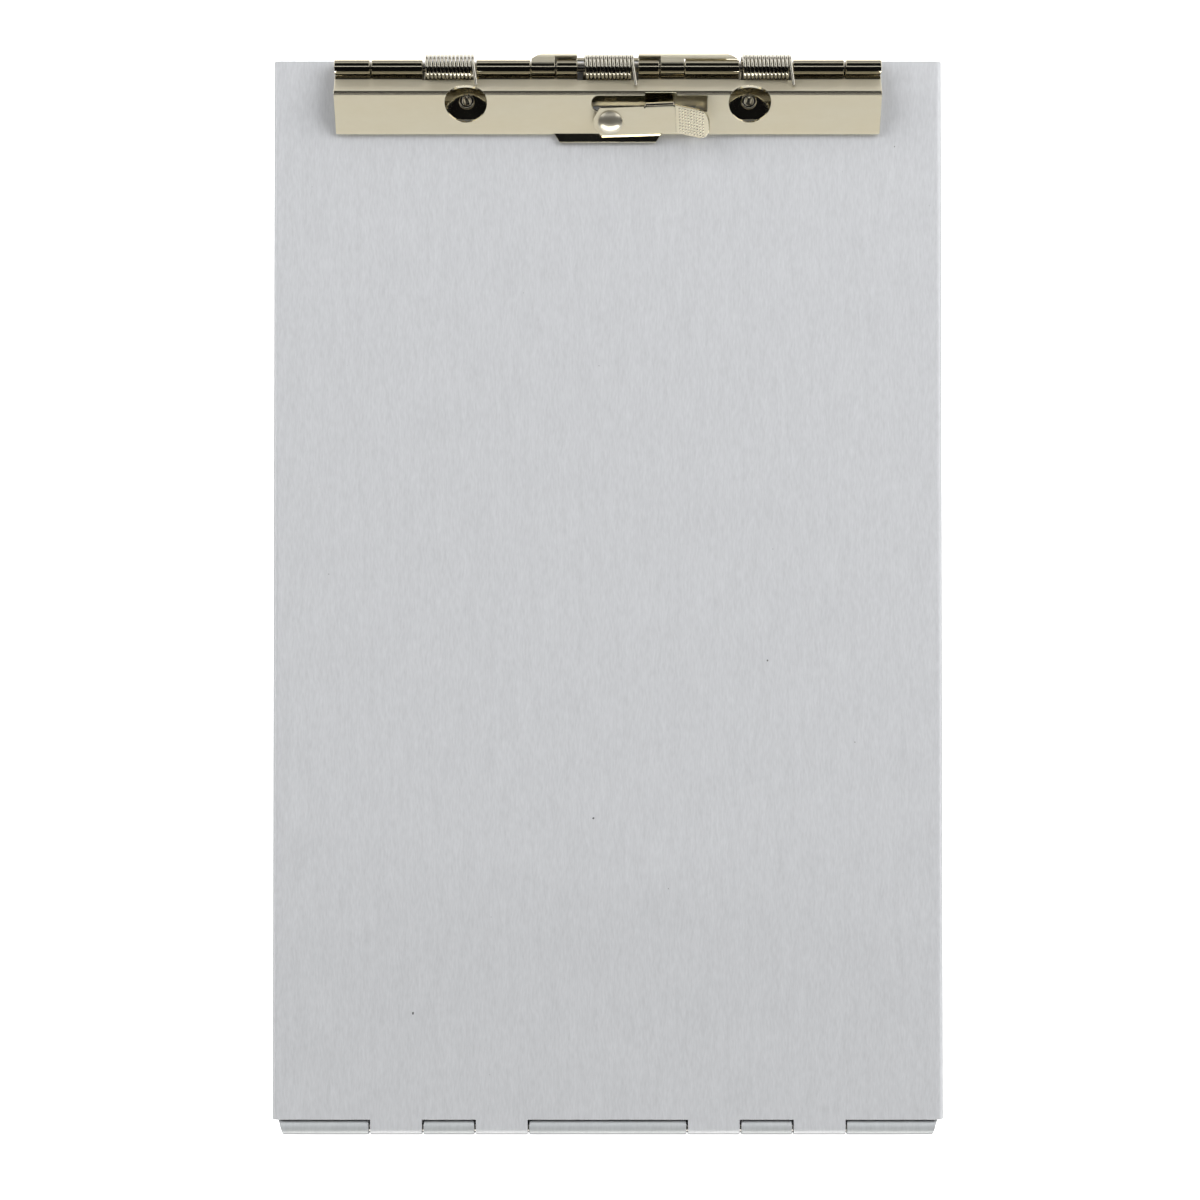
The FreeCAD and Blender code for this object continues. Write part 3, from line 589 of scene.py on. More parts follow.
# %% The two finishes
def zone_mask(tree, direction, middle, reach, fade):
    """The zone group, placed with its own values in millimetres."""
    placed = node(tree, "ShaderNodeGroup", node_tree=zone, Direction=tuple(direction),
                  Middle=middle * MM, Reach=reach * MM, Fade=fade * MM)
    return placed.outputs["Mask"]


def start_material(name):
    """A material with its Principled shader, and the two nodes."""
    made = bpy.data.materials.new(name)
    made.use_nodes = True
    materials[name] = made
    return made.node_tree, made.node_tree.nodes["Principled BSDF"]


def aluminium(name, dark, light, metallic, roughness):
    """Drawn aluminium, with painted shade on the outermost edge of the side flanges and round the
    foot.
    """
    tree, shader = start_material(name)
    effect = node(tree, "ShaderNodeGroup", node_tree=grain).outputs
    tone = mix_of(tree, effect["Tone"], dark, light)
    tone = mix_of(tree, effect["Speck"], tone, (0.12, 0.12, 0.125, 1.0))
    # Painted shade: past the given reaches across and along, the colour falls to a darker copy of
    # the dark tone, standing in for the grey line where the edges turn away.
    painted_shade = tuple(0.55 * value for value in dark[:3]) + (1.0,)
    for direction, reach in ((x_axis, 113.6), (y_axis, 185.1)):
        tone = mix_of(tree, zone_mask(tree, direction, 0.0, reach, 0.5), painted_shade, tone)
    bump = node(tree, "ShaderNodeBump", Strength=0.12, Distance=0.00006, Height=effect["Height"])
    rough = range_of(tree, effect["Tone"], 0.0, 1.0, roughness - 0.05, roughness + 0.05)
    for label, value in (("Base Color", tone), ("Metallic", metallic), ("Roughness", rough),
                         ("Normal", bump.outputs["Normal"])):
        feed(tree, shader.inputs[label], value)


def nickel(name, colour, clouded, roughness, spread, *dull_zones):
    """Nickel plating. Each dull zone is (slabs, roughness, haze), and lies in all of its slabs."""
    tree, shader = start_material(name)
    tone = node(tree, "ShaderNodeGroup", node_tree=clouds).outputs["Tone"]
    rough = range_of(tree, tone, 0.0, 1.0, roughness + spread, roughness)
    metal = 1.0
    for slabs, more, haze in dull_zones:
        mask = zone_mask(tree, *slabs[0])
        for extra in slabs[1:]:
            mask = math_of(tree, "MULTIPLY", mask, zone_mask(tree, *extra))
        rough = math_of(tree, "MULTIPLY_ADD", mask, more, rough)
        metal = math_of(tree, "MULTIPLY_ADD", mask, -haze, metal) if haze else metal
    for label, value in (("Base Color", mix_of(tree, tone, clouded, colour)), ("Metallic", metal),
                         ("Roughness", rough)):
        feed(tree, shader.inputs[label], value)


def slab(direction, point, reach=0.03, fade=0.03, shift=0.0):
    """A slab of space about the plane that is square to a direction, a shift beyond a point."""
    return direction, point @ direction + shift, reach, fade


# %% Materials
x_axis, y_axis = (1, 0, 0), (0, 1, 0)
climb_angle, pad_lean = math.radians(jaw_climb), math.radians(pad_angle)
first_normal = np.array([0.0, math.sin(climb_angle), math.cos(climb_angle)])
first_up = np.array([0.0, -math.cos(climb_angle), math.sin(climb_angle)])
pad_normal = math.cos(pad_lean) * front_normal - math.sin(pad_lean) * lever_along
pad_curl = pad_bend - clip_sheet / 2
pad_root = (lever_pivot + (lever_strap - lever_tail) * lever_along
            + (lever_gap + clip_sheet + pad_curl) * front_normal - pad_curl * pad_normal)

aluminium("plate", (0.575, 0.585, 0.605, 1.0), (0.675, 0.687, 0.71, 1.0), 0.2, 0.5)
aluminium("pan", (0.46, 0.478, 0.487, 1.0), (0.54, 0.56, 0.57, 1.0), 0.25, 0.48)
plated, clouded = (0.80, 0.75, 0.60, 1.0), (0.75, 0.69, 0.53, 1.0)
nickel("nickel_face", plated, clouded, 0.08, 0.06,
       ([slab(front_normal, ridge_top)], 0.36, 0.2),
       ([slab(first_normal, ridge_top), slab(first_up, ridge_top, 3.4, 0.8, -2.6)], 0.3, 0.1))
nickel("nickel_lever", plated, clouded, 0.08, 0.06,
       ([slab(front_normal, lever_pivot, shift=lever_gap + clip_sheet)], 0.36, 0.2),
       ([slab(pad_normal, pad_root), slab(lever_along, pad_root, 7.0, 0.5, 7.0)], 0.36, 0.2))
nickel("nickel_latch", plated, clouded, 0.08, 0.06, ([(y_axis, 182.0, 3.1, 0.9)], 0.3, 0.25))
nickel("nickel_base", plated, clouded, 0.07, 0.05,
       ([(x_axis, 30.0, 7.0, 2.0), (y_axis, 160.0, 10.0, 1.0)], 0.2, 0.0),
       ([(x_axis, 3.5, 12.0, 2.0), (y_axis, 165.2, 1.0, 0.3)], 0.3, 0.0))
nickel("nickel", (0.78, 0.73, 0.61, 1.0), (0.70, 0.65, 0.53, 1.0), 0.07, 0.05)
nickel("nickel_wire", (0.60, 0.57, 0.50, 1.0), (0.51, 0.485, 0.41, 1.0), 0.12, 0.05)
nickel("rivet", (0.82, 0.77, 0.64, 1.0), (0.74, 0.69, 0.56, 1.0), 0.10, 0.05,
       ([slab(front_normal, ridge_top, 2.4, 0.1, 3.0)], 0.16, 0.1))
nickel("steel", (0.45, 0.43, 0.40, 1.0), (0.36, 0.34, 0.31, 1.0), 0.22, 0.08)
print("materials:", ", ".join(materials))

# %% [markdown]
# ## The writing plate
#
# One sheet folds two ways. Its flanges turn down along $x$ with a path in the XZ plane, and
# its fingers run off the hinge end and roll down round the pin with a path in the YZ plane.
# The blank's coordinates are $(p, y)$, with $p$ measured along the cross-section.

# %% Writing plate
def make_plate():
    """place(p, y): (u(p), y, v(p)) on the plate, and (p, u(q), v(q)) on a finger, q = y1 - y."""
    drop, middle = flange_depth - plate_bend, plate_bend - box_sheet / 2
    span = box_width - 2 * plate_bend
    section = trace((-box_width / 2 + box_sheet / 2, plate_top - flange_depth), 90,
                    [("run", drop), ("bend", middle, -90), ("run", span), ("bend", middle, -90),
                     ("run", drop)])
    total = 2 * drop + span + 2 * middle * math.pi / 2
    finger_start = -plate_end + 1.0
    finger = trace((finger_start, plate_top - box_sheet / 2), 180,
                   [("run", finger_start - hinge_y), ("bend", hinge_middle, hinge_roll)])
    finger_end = finger_start - (finger[-1][0] + finger[-1][1])

    def place(blank):
        u, v, heading = walk(section, blank[:, 0] + total / 2)
        zero = np.zeros_like(u)
        point = np.stack([u, blank[:, 1], v], 1)
        first = np.stack([np.cos(heading), zero, np.sin(heading)], 1)
        second = np.stack([zero, zero + 1, zero], 1)
        rolled = (blank[:, 1] < finger_start) & (np.abs(blank[:, 0]) < fingers[1][1] + 1)
        fu, fv, turned = walk(finger, finger_start - blank[:, 1])
        point[rolled] = np.stack([blank[:, 0], fu, fv], 1)[rolled]
        second[rolled] = np.stack([zero, -np.cos(turned), -np.sin(turned)], 1)[rolled]
        return point, first, second, np.cross(first, second)

    zones = both_sides([(x0, x1, finger_end) for x0, x1 in fingers])
    lower = skyline(zones, -plate_end, total / 2)
    corners = lower + [(total / 2, plate_end), (-total / 2, plate_end)]
    depths = np.array([point[1] for point in corners])
    widths = np.abs([point[0] for point in corners])
    radii = np.where(depths < finger_end + 0.1, 0.5, np.where(widths > total / 2 - 0.1, 0.6, 0.0))
    loops = [rounded(corners, radii)]
    loops += [hole((side * rivet_x, rivet_y), rivet_bore, 40) for side in (-1, 1)]
    lines = bend_lines(section, 0, shift=-total / 2)
    lines += bend_lines(finger, 1, shift=finger_start, sign=-1)
    return sheet("writing_plate_sheet", loops, lines, place, box_sheet, 0.16)


finish_piece(make_plate(), "plate", "lid", "plate_aluminium", "writing_plate")

# %% [markdown]
# ## The tray
#
# The pan sweeps one wall profile round its six-sided plan, mitred at the corners. The hinge
# end wall is a sheet of its own, because its upper edge is cut into knuckles that roll over
# the pin.

# %% Tray
def tray_plan(inset):
    """The plan drawn in by an inset: every side moves in by the same amount."""
    half, foot = tray_half - inset, tray_foot + inset
    lean = math.atan2(tray_corner_taper, -plate_end - tray_foot)
    taper_y = -plate_end + inset * math.tan(lean / 2)
    foot_half = half - (taper_y - foot) * math.tan(lean)
    return np.array([(-half, taper_y), (-foot_half, foot), (foot_half, foot), (half, taper_y),
                     (half, tray_end - inset), (-half, tray_end - inset)])


def make_pan():
    """Each side is the ruled strip P(k, e) = plan(inset_k)[corner e] at the height z_k."""
    rim, inner = 0.15, tray_bend - box_sheet
    quarter = np.linspace(0, math.pi / 2, 7)
    outer_bend = [(tray_bend * (1 - math.cos(a)), tray_bend * (1 - math.sin(a)),
                   -math.cos(a), -math.sin(a)) for a in quarter]
    inner_bend = [(box_sheet + inner * (1 - math.cos(a)), box_sheet + inner * (1 - math.sin(a)),
                   math.cos(a), math.sin(a)) for a in quarter]
    top = [(rim * (1 - math.sin(a)), tray_wall_top - rim * (1 - math.cos(a)),
            -math.sin(a), math.cos(a)) for a in quarter[::2]]
    top_inner = [(box_sheet - inset, height, -out, up) for inset, height, out, up in top]
    profile = np.array(inner_bend[::-1] + top_inner[::-1] + top + outer_bend)
    foot_profile = np.array(outer_bend)
    foot_inner = np.array(inner_bend[::-1])
    vertices, faces, normals, count = [], [], [], 0
    sides = [(index, profile) for index in (0, 2, 3, 4, 5)] + [(1, foot_profile), (1, foot_inner)]
    for index, rows in sides:
        points = np.array([np.column_stack([tray_plan(inset)[[index, (index + 1) % 6]],
                                            [height, height]]) for inset, height, _, _ in rows])
        along = points[0, 1, :2] - points[0, 0, :2]
        out = np.array([along[1], -along[0], 0]) / np.linalg.norm(along)
        normal = -rows[:, 2:3] * out + rows[:, 3:4] * np.array([0, 0, 1.0])
        grid = count + np.arange(len(rows) * 2).reshape(-1, 2)
        quad = np.stack([grid[:-1, 0], grid[1:, 0], grid[1:, 1], grid[:-1, 1]], 1)
        vertices.append(points.reshape(-1, 3))
        faces.append(quad)
        normals.append(np.stack([normal[:-1], normal[1:], normal[1:], normal[:-1]], 1))
        count += len(rows) * 2
    for inset, height, up in ((tray_bend, 0.0, -1), (box_sheet + inner, box_sheet, 1)):
        plan = tray_plan(inset)
        vertices.append(np.column_stack([plan, np.full(6, height)]))
        faces.append((count + np.arange(6)[::up])[None])
        normals.append(np.tile([0, 0, float(up)], (1, 6, 1)))
        count += 6
    cap_foot = hinge_wall_top - 0.4
    for side, corner in ((-1, 1), (1, 2)):
        outer, inner = tray_plan(0)[corner], tray_plan(box_sheet)[corner]
        cap = np.array([(*outer, cap_foot), (*inner, cap_foot), (*inner, tray_wall_top),
                        (*outer, tray_wall_top)])
        vertices.append(cap)
        faces.append((count + np.arange(4)[::side])[None])
        face_normal = np.cross(cap[1] - cap[0], cap[2] - cap[0])
        normals.append(np.tile(side * face_normal, (1, 4, 1)))
        count += 4
    return make_mesh("tray_pan", np.concatenate(vertices), faces, normals)


def make_hinge_wall():
    """The end wall and its knuckles: up the wall, then over the pin to the right."""
    low = tray_bend - 0.3
    path = trace((tray_foot + box_sheet / 2, low), 90,
                 [("run", hinge_z - low), ("bend", hinge_middle, -hinge_roll)])
    tip = path[-1][0] + path[-1][1]
    wall = hinge_wall_top - low
    foot_half = float(tray_plan(0)[2][0])
    rolled = np.linspace(hinge_z - low, tip, 30)
    y, _, _ = walk(path, rolled)
    lean = tray_corner_taper / (-plate_end - tray_foot)
    edge_x = foot_half + (y - tray_foot) * lean
    right = [(edge_x[0], wall)] + list(zip(edge_x, rolled))
    near, far = side_knuckle
    upper = [(end_knuckle, tip), (end_knuckle, wall), (far, wall), (far, tip), (near, tip),
             (near, wall), (centre_knuckle, wall), (centre_knuckle, tip)]
    mirror = [(-x, s) for x, s in upper[::-1]]
    left = [(-x, s) for x, s in right[::-1]]
    loop = rounded([(-foot_half, 0.0), (foot_half, 0.0)] + right + upper + mirror + left, 0.0)
    return sheet("tray_hinge_wall", [loop], bend_lines(path, 1), fold_across(path), box_sheet, 0.2)


finish_piece(make_pan(), "pan", "tray", "tray_aluminium", "tray")
finish_piece(make_hinge_wall(), "pan", "tray", "tray_aluminium", "tray")

# %% [markdown]
# ## The clip's three leaves
#
# The base, the jaw and the latch are steel leaves rolled round one pin. Each has its own
# knuckles, and together they fill the pin like the leaves of a door hinge.

# %% Clip base
def make_base():
    """Flat under the jaw, up at the back, then rolled forward round the pin."""
    front = clip_y - 17.2
    path = trace((front, plate_top + clip_sheet / 2), 0,
                 [("run", 18.05), ("bend", 1.375, 90), ("run", 2.95),
                  ("bend", clip_middle, clip_roll)])
    tip = path[-1][0] + path[-1][1]
    spring_cut, relief = 13.6, 4.8
    zones = both_sides([(80.9, clip_half, tip), (spring_gap, 17.4, tip), (*spring_bay, spring_cut)])
    zones += [(-spring_gap, spring_gap, spring_cut)]
    upper = skyline(zones, 18.0, clip_half)[::-1]
    lower = [(-clip_half, 0.0), (-9.0, 0.0), (-9.0, relief), (30.0, relief), (30.0, 0.0),
             (clip_half, 0.0)]
    loops = [rounded(lower + upper, 0.0)]
    loops += [hole((side * rivet_x, rivet_y - front), rivet_bore, 40) for side in (-1, 1)]
    return sheet("clip_base_leaf", loops, bend_lines(path, 1), fold_across(path), clip_sheet, 0.16)


finish_piece(make_base(), "nickel_base", "lid", "nickel_plate", "clip_base")

# %% [markdown]
# The jaw climbs from the pin to a ridge and falls to the paper. Features on its front face are
# given by their distance $b$ below the sharp ridge line. The real ridge is a bend, so $b$ is
# turned into a blank distance by a broken line that squeezes the bend's share.

# %% Clip jaw
def make_jaw():
    """Sides follow the plain path, the middle follows a path that ends in the lifting lip."""
    begin = 270 - jaw_climb + clip_roll
    start = (clip_y + clip_middle * math.cos(math.radians(begin)),
             clip_z + clip_middle * math.sin(math.radians(begin)))
    climb, fall, lip_fall, lip_run = 9.4296, 13.9916, 13.495, 2.9
    shared = [("bend", clip_middle, -clip_roll), ("run", climb),
              ("bend", ridge_bend, jaw_climb + jaw_fall)]
    plain = trace(start, begin - 90, shared + [("run", fall)])
    lipped = trace(start, begin - 90, shared + [("run", lip_fall), ("bend", ridge_bend, -jaw_fall),
                                                ("run", lip_run)])
    sides, middle = fold_across(plain), fold_across(lipped)
    root, tip_half = 18.3, 16.5

    def place(blank):
        is_side = (np.abs(blank[:, 0]) > root + 0.3)[:, None]
        return [np.where(is_side, a, b) for a, b in zip(sides(blank), middle(blank))]

    run_start = plain[1][0]
    bend_start, bend_end = plain[2][0], plain[3][0]
    face_end = plain[3][0] + fall
    lip_end = lipped[5][0] + lip_run
    sharp = 1.1235

    def at(below):
        """The blank distance s of a point a distance below the sharp ridge (above if negative)."""
        return np.interp(below, [-sharp - climb, -sharp, sharp, sharp + fall],
                         [run_start, bend_start, bend_end, face_end])

    def cut(reach):
        """The blank distance s of a point on the climb a distance in front of the pin."""
        return run_start + (reach - clip_middle * math.sin(climb_angle)) / math.cos(climb_angle)

    barrel_cut, spring_cut = cut(3.15), cut(4.95)
    zones = both_sides([(80.2, clip_half, barrel_cut), (*spring_bay, spring_cut)])
    zones += [(-26.3, 26.3, barrel_cut), (-spring_gap, spring_gap, spring_cut)]
    lower = skyline(zones, 0.0, clip_half)
    upper = [(clip_half, face_end), (root + 0.6, face_end), (root, face_end + 0.15),
             (tip_half, lip_end)]
    upper += [(-x, s) for x, s in upper[::-1]]
    corners = np.array(lower + upper)
    radii = np.zeros(len(corners))
    radii[(np.abs(corners[:, 0]) > clip_half - 0.1) & (corners[:, 1] > bend_end)] = 0.5
    radii[corners[:, 1] > lip_end - 0.01] = 0.7
    loops = [rounded(corners, radii)]
    turn = np.linspace(0, 2 * math.pi, 96, endpoint=False)
    access_radius, access_below = 7.15, 3.65
    below = access_below + access_radius * np.sin(turn)
    for side in (-1, 1):
        reach = side * rivet_x + access_radius * np.cos(turn)
        loops.append(np.stack([reach, at(below)], 1)[::-1])
    foot, head, notch = at(6.9), at(1.2), at(0.05)
    window = [(-5.5, foot), (33.7, foot), (33.7, head), (23.4, head), (23.4, notch),
              (12.6, notch), (12.6, head), (-5.5, head)]
    loops.append(rounded(window, [2.4, 0, 0, 0, 0.4, 0.4, 0, 2.4]))
    loops.append(hole((pivot_x, at(pivot_below)), pivot_bore, 40))
    lines = bend_lines(plain[:3], 1) + bend_lines(lipped[4:], 1)
    return sheet("clip_jaw_leaf", loops, lines, place, clip_sheet, 0.16)


finish_piece(make_jaw(), "nickel_face", "jaw", "nickel_plate", "clip_jaw")


# %% Latch
def make_latch():
    """Up behind the box, over the plate's edge, then round the pin. The right wing is longer."""
    foot, middle = 4.5, 0.45
    bend, roll, plate_y = 1.25, 2.1, 181.45
    path = trace((plate_y, foot), 90,
                 [("run", clip_z + roll - bend - foot), ("bend", bend, 90),
                  ("run", plate_y - bend - clip_y), ("bend", roll, 262.0)])
    tip = path[-1][0] + path[-1][1]
    shoulder, web = path[1][0] + 0.25, 22.35
    half, wing_tip, wing_foot, top = 26.0, 44.1, 13.9, shoulder + 2.0
    wing = [(web, wing_foot), (wing_tip - 3.7, wing_foot), (wing_tip - 3.7, shoulder),
            (wing_tip, top), (half, top)]
    knuckle = [(half, tip), (18.0, tip), (18.0, 17.45), (spring_gap, 17.45), (spring_gap, 10.15)]
    left = [(-x, s) for x, s in knuckle[::-1]] + [(-half, top), (-web, shoulder)]
    corners = [(-web, 0), (web, 0)] + wing + knuckle + left
    loops = [rounded(corners, [2.4, 2.4, 0.0, 0.6] + [0.0] * (len(corners) - 4))]
    return sheet("latch_leaf", loops, bend_lines(path, 1), fold_across(path), 2 * middle, 0.13)


def make_bead():
    """The snap bead: a low pillow d(x, z) = h (1 - x'^6)(1 - z'^2) on the latch's inner face."""
    rise, half_length, half_width, face_y, centre_z = 0.35, 17.0, 1.1, 181.02, 8.0
    x, z = np.meshgrid(np.linspace(-1, 1, 41), np.linspace(-1, 1, 9), indexing="ij")
    height = rise * (1 - x ** 6) * (1 - z ** 2)
    points = np.stack([half_length * x, face_y - height, centre_z + half_width * z], -1)
    tilt = np.stack([rise * 6 * x ** 5 * (1 - z ** 2) / half_length, -np.ones_like(x),
                     rise * (1 - x ** 6) * 2 * z / half_width], -1)
    points, tilt = points[::-1], tilt[::-1]
    return grid_mesh("latch_bead", points, np.stack([tilt[:-1], tilt[1:]]), False)


finish_piece(make_latch(), "nickel_latch", "latch", "nickel_plate", "latch_hook")
finish_piece(make_bead(), "nickel", "latch", "nickel_plate", "latch_hook")

# %% [markdown]
# ## The lock lever
#
# The lever's own frame has $a$ along the strap, $b$ up the jaw's face and $w$ off it, turned by
# $\beta = 2.5°$ on the face:
# $P = c + w\,N + (a\cos\beta - b\sin\beta)X + (a\sin\beta + b\cos\beta)U$.
# The finger pad bends up by 20° and slants down a little, and the tab bends in through the
# jaw's window. Knurling is pressed on a real pad, and here each dot is a small dome, because
# dots of real shape still catch the light when the lever turns.

# %% Lock lever
lever_middle = lever_gap + clip_sheet / 2
pad_path = trace((-lever_tail, lever_middle), 0,
                 [("run", lever_strap), ("bend", pad_bend, pad_angle), ("run", pad_run)])
pad_start, pad_end = 22.1, pad_path[-1][0] + pad_run - lever_tail


def on_strap(a, b):
    """P(a, b) = c + u(a) A + b B + w(a) N, with its direction along the path and its normal."""
    u, w, heading = walk(pad_path, a + lever_tail)
    cos, sin = np.cos(heading)[:, None], np.sin(heading)[:, None]
    point = (lever_pivot + u[:, None] * lever_along + b[:, None] * lever_up
             + w[:, None] * front_normal)
    return point, cos * lever_along + sin * front_normal, cos * front_normal - sin * lever_along


def make_lever():
    """The strap's path lies in (a, w). The tab's lies in (b, w), from tab_left to tab_right."""
    low, high, shoulder, tail_half = -4.75, 5.3, -3.4, 1.8
    tab_left, tab_right, slit = 12.0, 21.8, 0.3
    tab_start, tab_fold, tab_reach = 3.5, 1.15, 5.6
    tab = trace((tab_start, lever_middle), 0,
                [("run", tab_fold), ("bend", 0.975, -90), ("run", tab_reach)])
    tab_root, tab_end = tab_start + tab_fold, tab_start + tab[-1][0] + tab_reach

    def place(blank):
        a, b = blank.T
        point, first, _ = on_strap(a, b)
        second = np.broadcast_to(lever_up, first.shape).copy()
        folded = (b > tab_root) & (a > tab_left - 0.1) & (a < tab_right + 0.1)
        v, w, heading = walk(tab, b - tab_start)
        cos, sin = np.cos(heading)[:, None], np.sin(heading)[:, None]
        on_tab = (lever_pivot + a[:, None] * lever_along + v[:, None] * lever_up
                  + w[:, None] * front_normal)
        point[folded], first[folded] = on_tab[folded], lever_along
        second[folded] = (cos * lever_up + sin * front_normal)[folded]
        return point, first, second, np.cross(first, second)

    drop = pad_skew * (pad_end - pad_start)
    corners = [(-lever_tail, 0.2 - tail_half), (shoulder, low), (pad_start, low),
               (pad_end, low - drop), (pad_end, high - drop), (pad_start, high),
               (pad_start, tab_root), (tab_right, tab_root), (tab_right, tab_end),
               (tab_left, tab_end), (tab_left, tab_root), (tab_left - slit, tab_root),
               (tab_left - slit, high), (shoulder, high), (-lever_tail, tail_half)]
    radii = [1.2, 1.6, 5.0, 3.4, 4.4, 0, 0, 0, 0.6, 0.6, 0, 0, 0, 1.6, 1.2]
    lines = bend_lines(pad_path, 0, 4.0, shift=-lever_tail)
    lines += bend_lines(tab, 1, shift=tab_start, low=tab_left - 0.1, high=tab_right + 0.1)
    loops = [rounded(corners, radii, 8), hole((0, 0), pivot_bore, 40)]
    return sheet("lever_strap", loops, lines, place, clip_sheet, 0.2)


def make_knurl():
    """Raised dots on the pad, each d(r) = h cos(pi r / 2 R), on a grid of a fixed pitch."""
    dots, pitch, radius, height, sides = 9, 1.03, 0.36, 0.2, 10
    a, b = np.meshgrid(np.arange(dots) * pitch + 23.9, np.arange(dots) * pitch - 3.85)
    centres = np.stack([a.ravel(), (b - pad_skew * (a - pad_start)).ravel()], 1)
    share = np.array([0.0, 0.35, 0.7, 1.0])
    angle = np.arange(sides) * 2 * math.pi / sides
    spoke = np.stack([np.cos(angle), np.sin(angle)], -1)
    flat = centres[:, None, None] + radius * share[:, None, None] * spoke
    point, first, normal = on_strap(*flat.reshape(-1, 2).T)
    profile = np.stack([height * np.cos(share * math.pi / 2),
                        height * math.pi / 2 / radius * np.sin(share * math.pi / 2)])
    rise, slope = np.tile(np.repeat(profile, sides, axis=1), len(centres))[:, :, None]
    spoke = np.tile(spoke, (len(centres) * len(share), 1))
    points = point + (clip_sheet / 2 - 0.01 + rise) * normal
    normals = normal + slope * (spoke[:, :1] * first + spoke[:, 1:] * lever_up)
    index = np.arange(len(points)).reshape(len(centres), len(share), sides)
    following = np.roll(index, -1, axis=2)
    quads = np.stack([index[:, :-1], index[:, 1:], following[:, 1:], following[:, :-1]], -1)
    quads = quads.reshape(-1, 4)
    return make_mesh("lever_knurl", points, [quads], [normals[quads]])


finish_piece(make_lever(), "nickel_lever", "lever", "nickel_plate", "lock_lever")
finish_piece(make_knurl(), "nickel", "lever", "nickel_plate", "lock_lever")

# %% [markdown]
# ## Rivets, washers and pins
#
# All are turned. Their profiles list $(r, h)$ with the metal on the left of the line.

# %% Turned pieces
def arc(centre, radius, start, end, steps=6):
    """Profile points c + r (cos t, sin t) between two angles in degrees."""
    angles = np.radians(np.linspace(start, end, steps + 1))
    return [(centre[0] + radius * math.cos(a), centre[1] + radius * math.sin(a)) for a in angles]


def ring_profile(inner, outer, low, high, edge=0.12):
    """A washer's section with rounded corners, closed on itself."""
    corners = ((outer - edge, low + edge, -90), (outer - edge, high - edge, 0),
               (inner + edge, high - edge, 90), (inner + edge, low + edge, 180))
    points = [point for r, h, turn in corners for point in arc((r, h), edge, turn, turn + 90, 3)]
    return points + points[:1]


def rod_profile(radius, half, edge=0.3):
    """A plain rod's section with rounded ends."""
    return ([(0, -half)] + arc((radius - edge, -half + edge), edge, -90, 0, 4)
            + arc((radius - edge, half - edge), edge, 0, 90, 4) + [(0, half)])


def make_lever_rivet():
    """A dome of radius R = (r^2 + d^2) / 2d over a short rim, on a shank with a flat tail."""
    base, head, rim, rise, under, shank = 2.0, 4.1, 0.35, 1.7, 1.65, 1.6
    dome = rise - rim
    radius = (head ** 2 + dome ** 2) / (2 * dome)
    spread = math.degrees(math.asin(head / radius))
    profile = ([(0, -under - 0.7), (2.15, -under - 0.7), (2.3, -under - 0.55), (2.3, -under),
                (shank, -under), (shank, base), (head - 0.12, base), (head, base + 0.12),
                (head, base + rim)]
               + arc((0, base + rise - radius), radius, 90 - spread + 1.2, 90, 16))
    return lathe("lever_rivet_turned", profile, lever_pivot, front_normal, across, 72, 20)


def make_clip_rivet(name, x):
    """A tubular rivet: flat tail below, shank, and a rolled rim round its bore."""
    profile = ([(0, -2.55), (2.75, -2.55), (2.9, -2.4), (2.9, -1.85), (2.0, -1.85), (2.0, 1.15),
                (2.5, 1.15)] + arc((2.2, 1.65), 0.5, -60, 90, 8) + arc((1.7, 1.65), 0.5, 90, 180, 6)
               + [(1.2, 1.2), (1.2, -1.85), (0, -1.85)])
    return lathe(name, profile, np.array([x, rivet_y, plate_top]), upright, across, 56)


finish_piece(make_lever_rivet(), "rivet", "jaw", "rivet_nickel", "lever_rivet")
finish_piece(lathe("lever_washer_turned", ring_profile(pivot_bore, 3.5, 0.05, 0.75), lever_pivot,
                   front_normal, across), "nickel", "jaw", "nickel_plate", "lever_washer")
finish_piece(lathe("lever_backing_turned", ring_profile(pivot_bore, 2.5, -1.6, -1.2), lever_pivot,
                   front_normal, across), "nickel", "jaw", "nickel_plate", "lever_backing_washer")
for word, side in (("left", -1), ("right", 1)):
    finish_piece(make_clip_rivet("clip_rivet_turned_" + word, side * rivet_x), "rivet", "lid",
                 "rivet_nickel", "clip_rivet_" + word)
    washer = lathe("rivet_washer_turned_" + word, ring_profile(rivet_bore, 4.5, 0.0, 0.8),
                   np.array([side * rivet_x, rivet_y, 12.9]), upright, across)
    finish_piece(washer, "steel", "lid", "pin_steel", "clip_rivet_washer_" + word)
for name, radius, half, y, z, body in (("clip_pin", 1.6, 92.4, clip_y, clip_z, "lid"),
                                       ("box_hinge_pin", 1.4, 109.0, hinge_y, hinge_z, "tray")):
    pin = lathe(name + "_turned", rod_profile(radius, half), np.array([0, y, z]), across,
                upright, 48)
    finish_piece(pin, "steel", body, "pin_steel", name)

# %% [markdown]
# ## Springs
#
# A coil about the pin is $x = x_0 + pq$, $(y, z) = c + r(\cos t, \sin t)$ with
# $q = (t - t_0)/2\pi$, and each leg leaves it along its tangent. The lower leg lies on the base and
# the upper leg against the jaw. On the real clip the coil twists between them when the jaw opens;
# here the wire is fixed in place and joins neither body.

# %% Springs
wire_radius, coil_radius, coil_pitch = 0.6, 4.0, 1.3
low_leg, high_leg, leg_lean = 6.0, 6.7, 0.11
low_start, high_end, coil_turns = 270.0 - 23.0, 90.0 + 3.6, 13


